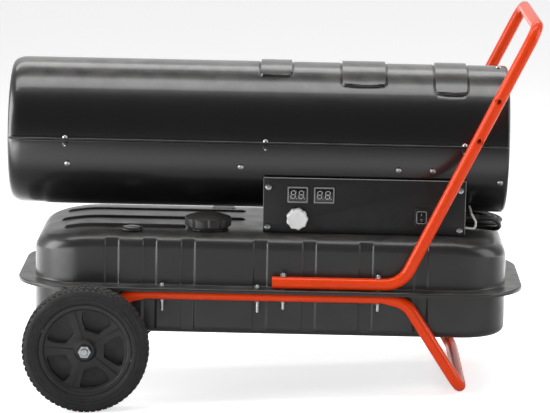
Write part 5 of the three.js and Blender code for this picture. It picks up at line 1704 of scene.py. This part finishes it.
class HEATER_OT_stage(Piece, bpy.types.Operator):
    """Sets the pale floor, the soft boxes, the surroundings and the camera"""
    bl_idname = "heater.stage"
    bl_label = "Stage"

    def build(self):
        scene = bpy.context.scene
        stage = scene.heater_stage
        nothing_selected()
        bpy.ops.mesh.primitive_circle_add(vertices=128, radius=14, fill_type="NGON",
                                          location=(0, 4, 0))
        floor = placed(bpy.context.object)
        floor.name = "floor"
        floor.data.materials.append(self.pale(stage.floor))
        lamps = [
            lamp("box_above", (0, -0.1, 2.5), (0, 0, 0.4), 3.0, 0.8, 33),
            lamp("box_behind", (0, 1.5, 2.2), (0, 0, 0.4), 3.0, 0.6, 15),
            lamp("box_left", (-2.3, -0.4, 1.0), (0, 0, 0.4), 1.4, 1.8, 46),
            lamp("box_right", (2.3, -0.4, 1.0), (0, 0, 0.4), 1.4, 1.8, 21),
            lamp("front_fill", (0.3, -4.2, 1.6), (0, 0, 0.3), 2.4, 1.6, 46),
        ]
        lamps[-1].visible_glossy = False
        self.surroundings(scene)
        data = bpy.data.cameras.new("camera")
        data.lens = stage.lens
        data.sensor_width = 36
        camera = bpy.data.objects.new("camera", data)
        scene.collection.objects.link(camera)
        ahead, across = Vector(stage.ahead).normalized(), Vector(stage.across).normalized()
        up = across.cross(ahead)
        turn = Matrix((across, up, -ahead)).transposed().to_4x4()
        camera.matrix_world = Matrix.Translation(stage.place) @ turn
        scene.camera = camera
        scene.view_settings.view_transform = "Standard"

    def pale(self, tint):
        """White to the camera, with painted shade and painted light in its reflections only, and
        a floor that takes real shadows.
        """
        nodes = Finish("pale_floor")
        even = nodes.ramp(nodes.noise(0.6, 2), ((0.3, shaded(tint, 0.99)), (0.7, tint)))
        place = nodes.split(nodes.start["Object"])
        start, end = FLOOR_RUN
        # painted reflection: painted shade near the heater and painted light further out, for
        # glossy rays only
        painted_reflection = nodes.ramp(nodes.spread(place["Y"], 0.0, 1.0, FLOOR_RUN),
                              [((y - start) / (end - start), (level, level, level))
                               for y, level in FLOOR_PAINTED_REFLECTION])
        rays = nodes.add("ShaderNodeLightPath").outputs
        glossy = rays["Is Glossy Ray"]
        # painted light: the floor shows brighter in reflections to the left and behind the
        # heater
        patch = nodes.maths("MULTIPLY", nodes.spread(place["Y"], 0.0, 1.0, (-2.4, -1.9)),
                            nodes.spread(place["Y"], 1.0, 0.0, (-1.1, -0.3)))
        patch = nodes.maths("MULTIPLY", patch,
                            nodes.spread(place["X"], SIDE_PAINTED_LIGHT, 0.0, (-1.1, -0.5)))
        patch = nodes.maths("ADD", patch,
                            nodes.spread(place["Y"], 0.0, BACK_PAINTED_LIGHT, (0.1, 0.8)))
        plain = nodes.maths("MAXIMUM", rays["Is Camera Ray"], rays["Is Transmission Ray"])
        level = nodes.maths("MULTIPLY", glossy, nodes.maths("ADD", painted_reflection, patch))
        seen = nodes.maths("MULTIPLY", nodes.maths("ADD", plain, level), FLOOR_GLOW)
        glow = nodes.add("ShaderNodeEmission", {"Strength": seen})
        both = nodes.add("ShaderNodeAddShader", {0: nodes.shader.outputs["BSDF"],
                                                 1: glow.outputs["Emission"]})
        nodes.put(nodes.tree.nodes["Material Output"].inputs["Surface"],
                  both.outputs["Shader"])
        return nodes.ready({"Roughness": 0.85,
                            "Base Color": nodes.mixed(glossy, even, painted_reflection)})

    def surroundings(self, scene):
        """Bright behind, to the left and near the floor, dim on the camera's side."""
        scene.world = bpy.data.worlds.new("surroundings")
        scene.world.use_nodes = True
        nodes = Nodes(scene.world.node_tree)
        way = nodes.split(nodes.start["Generated"])
        back = nodes.spread(way["Y"], 0.12, 0.75, (0.45, 0.85))
        low = nodes.spread(way["Z"], 0.9, 0.0, (-0.06, 0.03))
        left = nodes.spread(nodes.maths("MULTIPLY", way["X"], -1.0), 0.0, 0.8, (0.5, 0.85))
        light = nodes.maths("MAXIMUM", nodes.maths("MAXIMUM", back, left), low)
        seen = nodes.add("ShaderNodeLightPath").outputs["Is Camera Ray"]
        background = nodes.tree.nodes["Background"].inputs
        nodes.put(background["Strength"], nodes.maths("MAXIMUM", light, seen))
        nodes.put(background["Color"], (1, 1, 1))


class HEATER_PT_pieces(bpy.types.Panel):
    """Lists the heater's pieces in the sidebar"""
    bl_idname = "HEATER_PT_pieces"
    bl_label = "Forced air heater"
    bl_space_type = "VIEW_3D"
    bl_region_type = "UI"
    bl_category = "Heater"

    def draw(self, context):
        scene = context.scene
        for title, group in (("Sizes", scene.heater_sizes), ("Colours", scene.heater_colours),
                             ("Stage", scene.heater_stage)):
            box = self.layout.box()
            box.label(text=title)
            for key in group.bl_rna.properties.keys():
                if key not in ("rna_type", "name"):
                    box.prop(group, key)
        for piece in PIECES:
            self.layout.operator(piece.bl_idname)


PIECES = (
    HEATER_OT_cord, HEATER_OT_sensor_lead, HEATER_OT_upper_shell, HEATER_OT_lower_shell,
    HEATER_OT_barrel_screws, HEATER_OT_tank_upper, HEATER_OT_tank_lower,
    HEATER_OT_filler_cap, HEATER_OT_fuel_gauge, HEATER_OT_control_panel,
    HEATER_OT_displays, HEATER_OT_knob, HEATER_OT_switch, HEATER_OT_wheel_frame,
    HEATER_OT_handle, HEATER_OT_bolts, HEATER_OT_axle, HEATER_OT_wheels,
    HEATER_OT_fan_guard, HEATER_OT_burner, HEATER_OT_motor, HEATER_OT_fan,
    HEATER_OT_kept_parts, HEATER_OT_stage,
)
CLASSES = (HeaterSizes, HeaterColours, HeaterStage, *PIECES, HEATER_PT_pieces)


def register():
    for cls in CLASSES:
        bpy.utils.register_class(cls)
    bpy.types.Scene.heater_sizes = PointerProperty(type=HeaterSizes)
    bpy.types.Scene.heater_colours = PointerProperty(type=HeaterColours)
    bpy.types.Scene.heater_stage = PointerProperty(type=HeaterStage)


def unregister():
    del bpy.types.Scene.heater_stage
    del bpy.types.Scene.heater_colours
    del bpy.types.Scene.heater_sizes
    for cls in reversed(CLASSES):
        bpy.utils.unregister_class(cls)


def main():
    register()
    make_finishes()
    for piece in PIECES:
        group, name = piece.bl_idname.split(".")
        getattr(getattr(bpy.ops, group), name)()


if __name__ == "__main__":
    main()
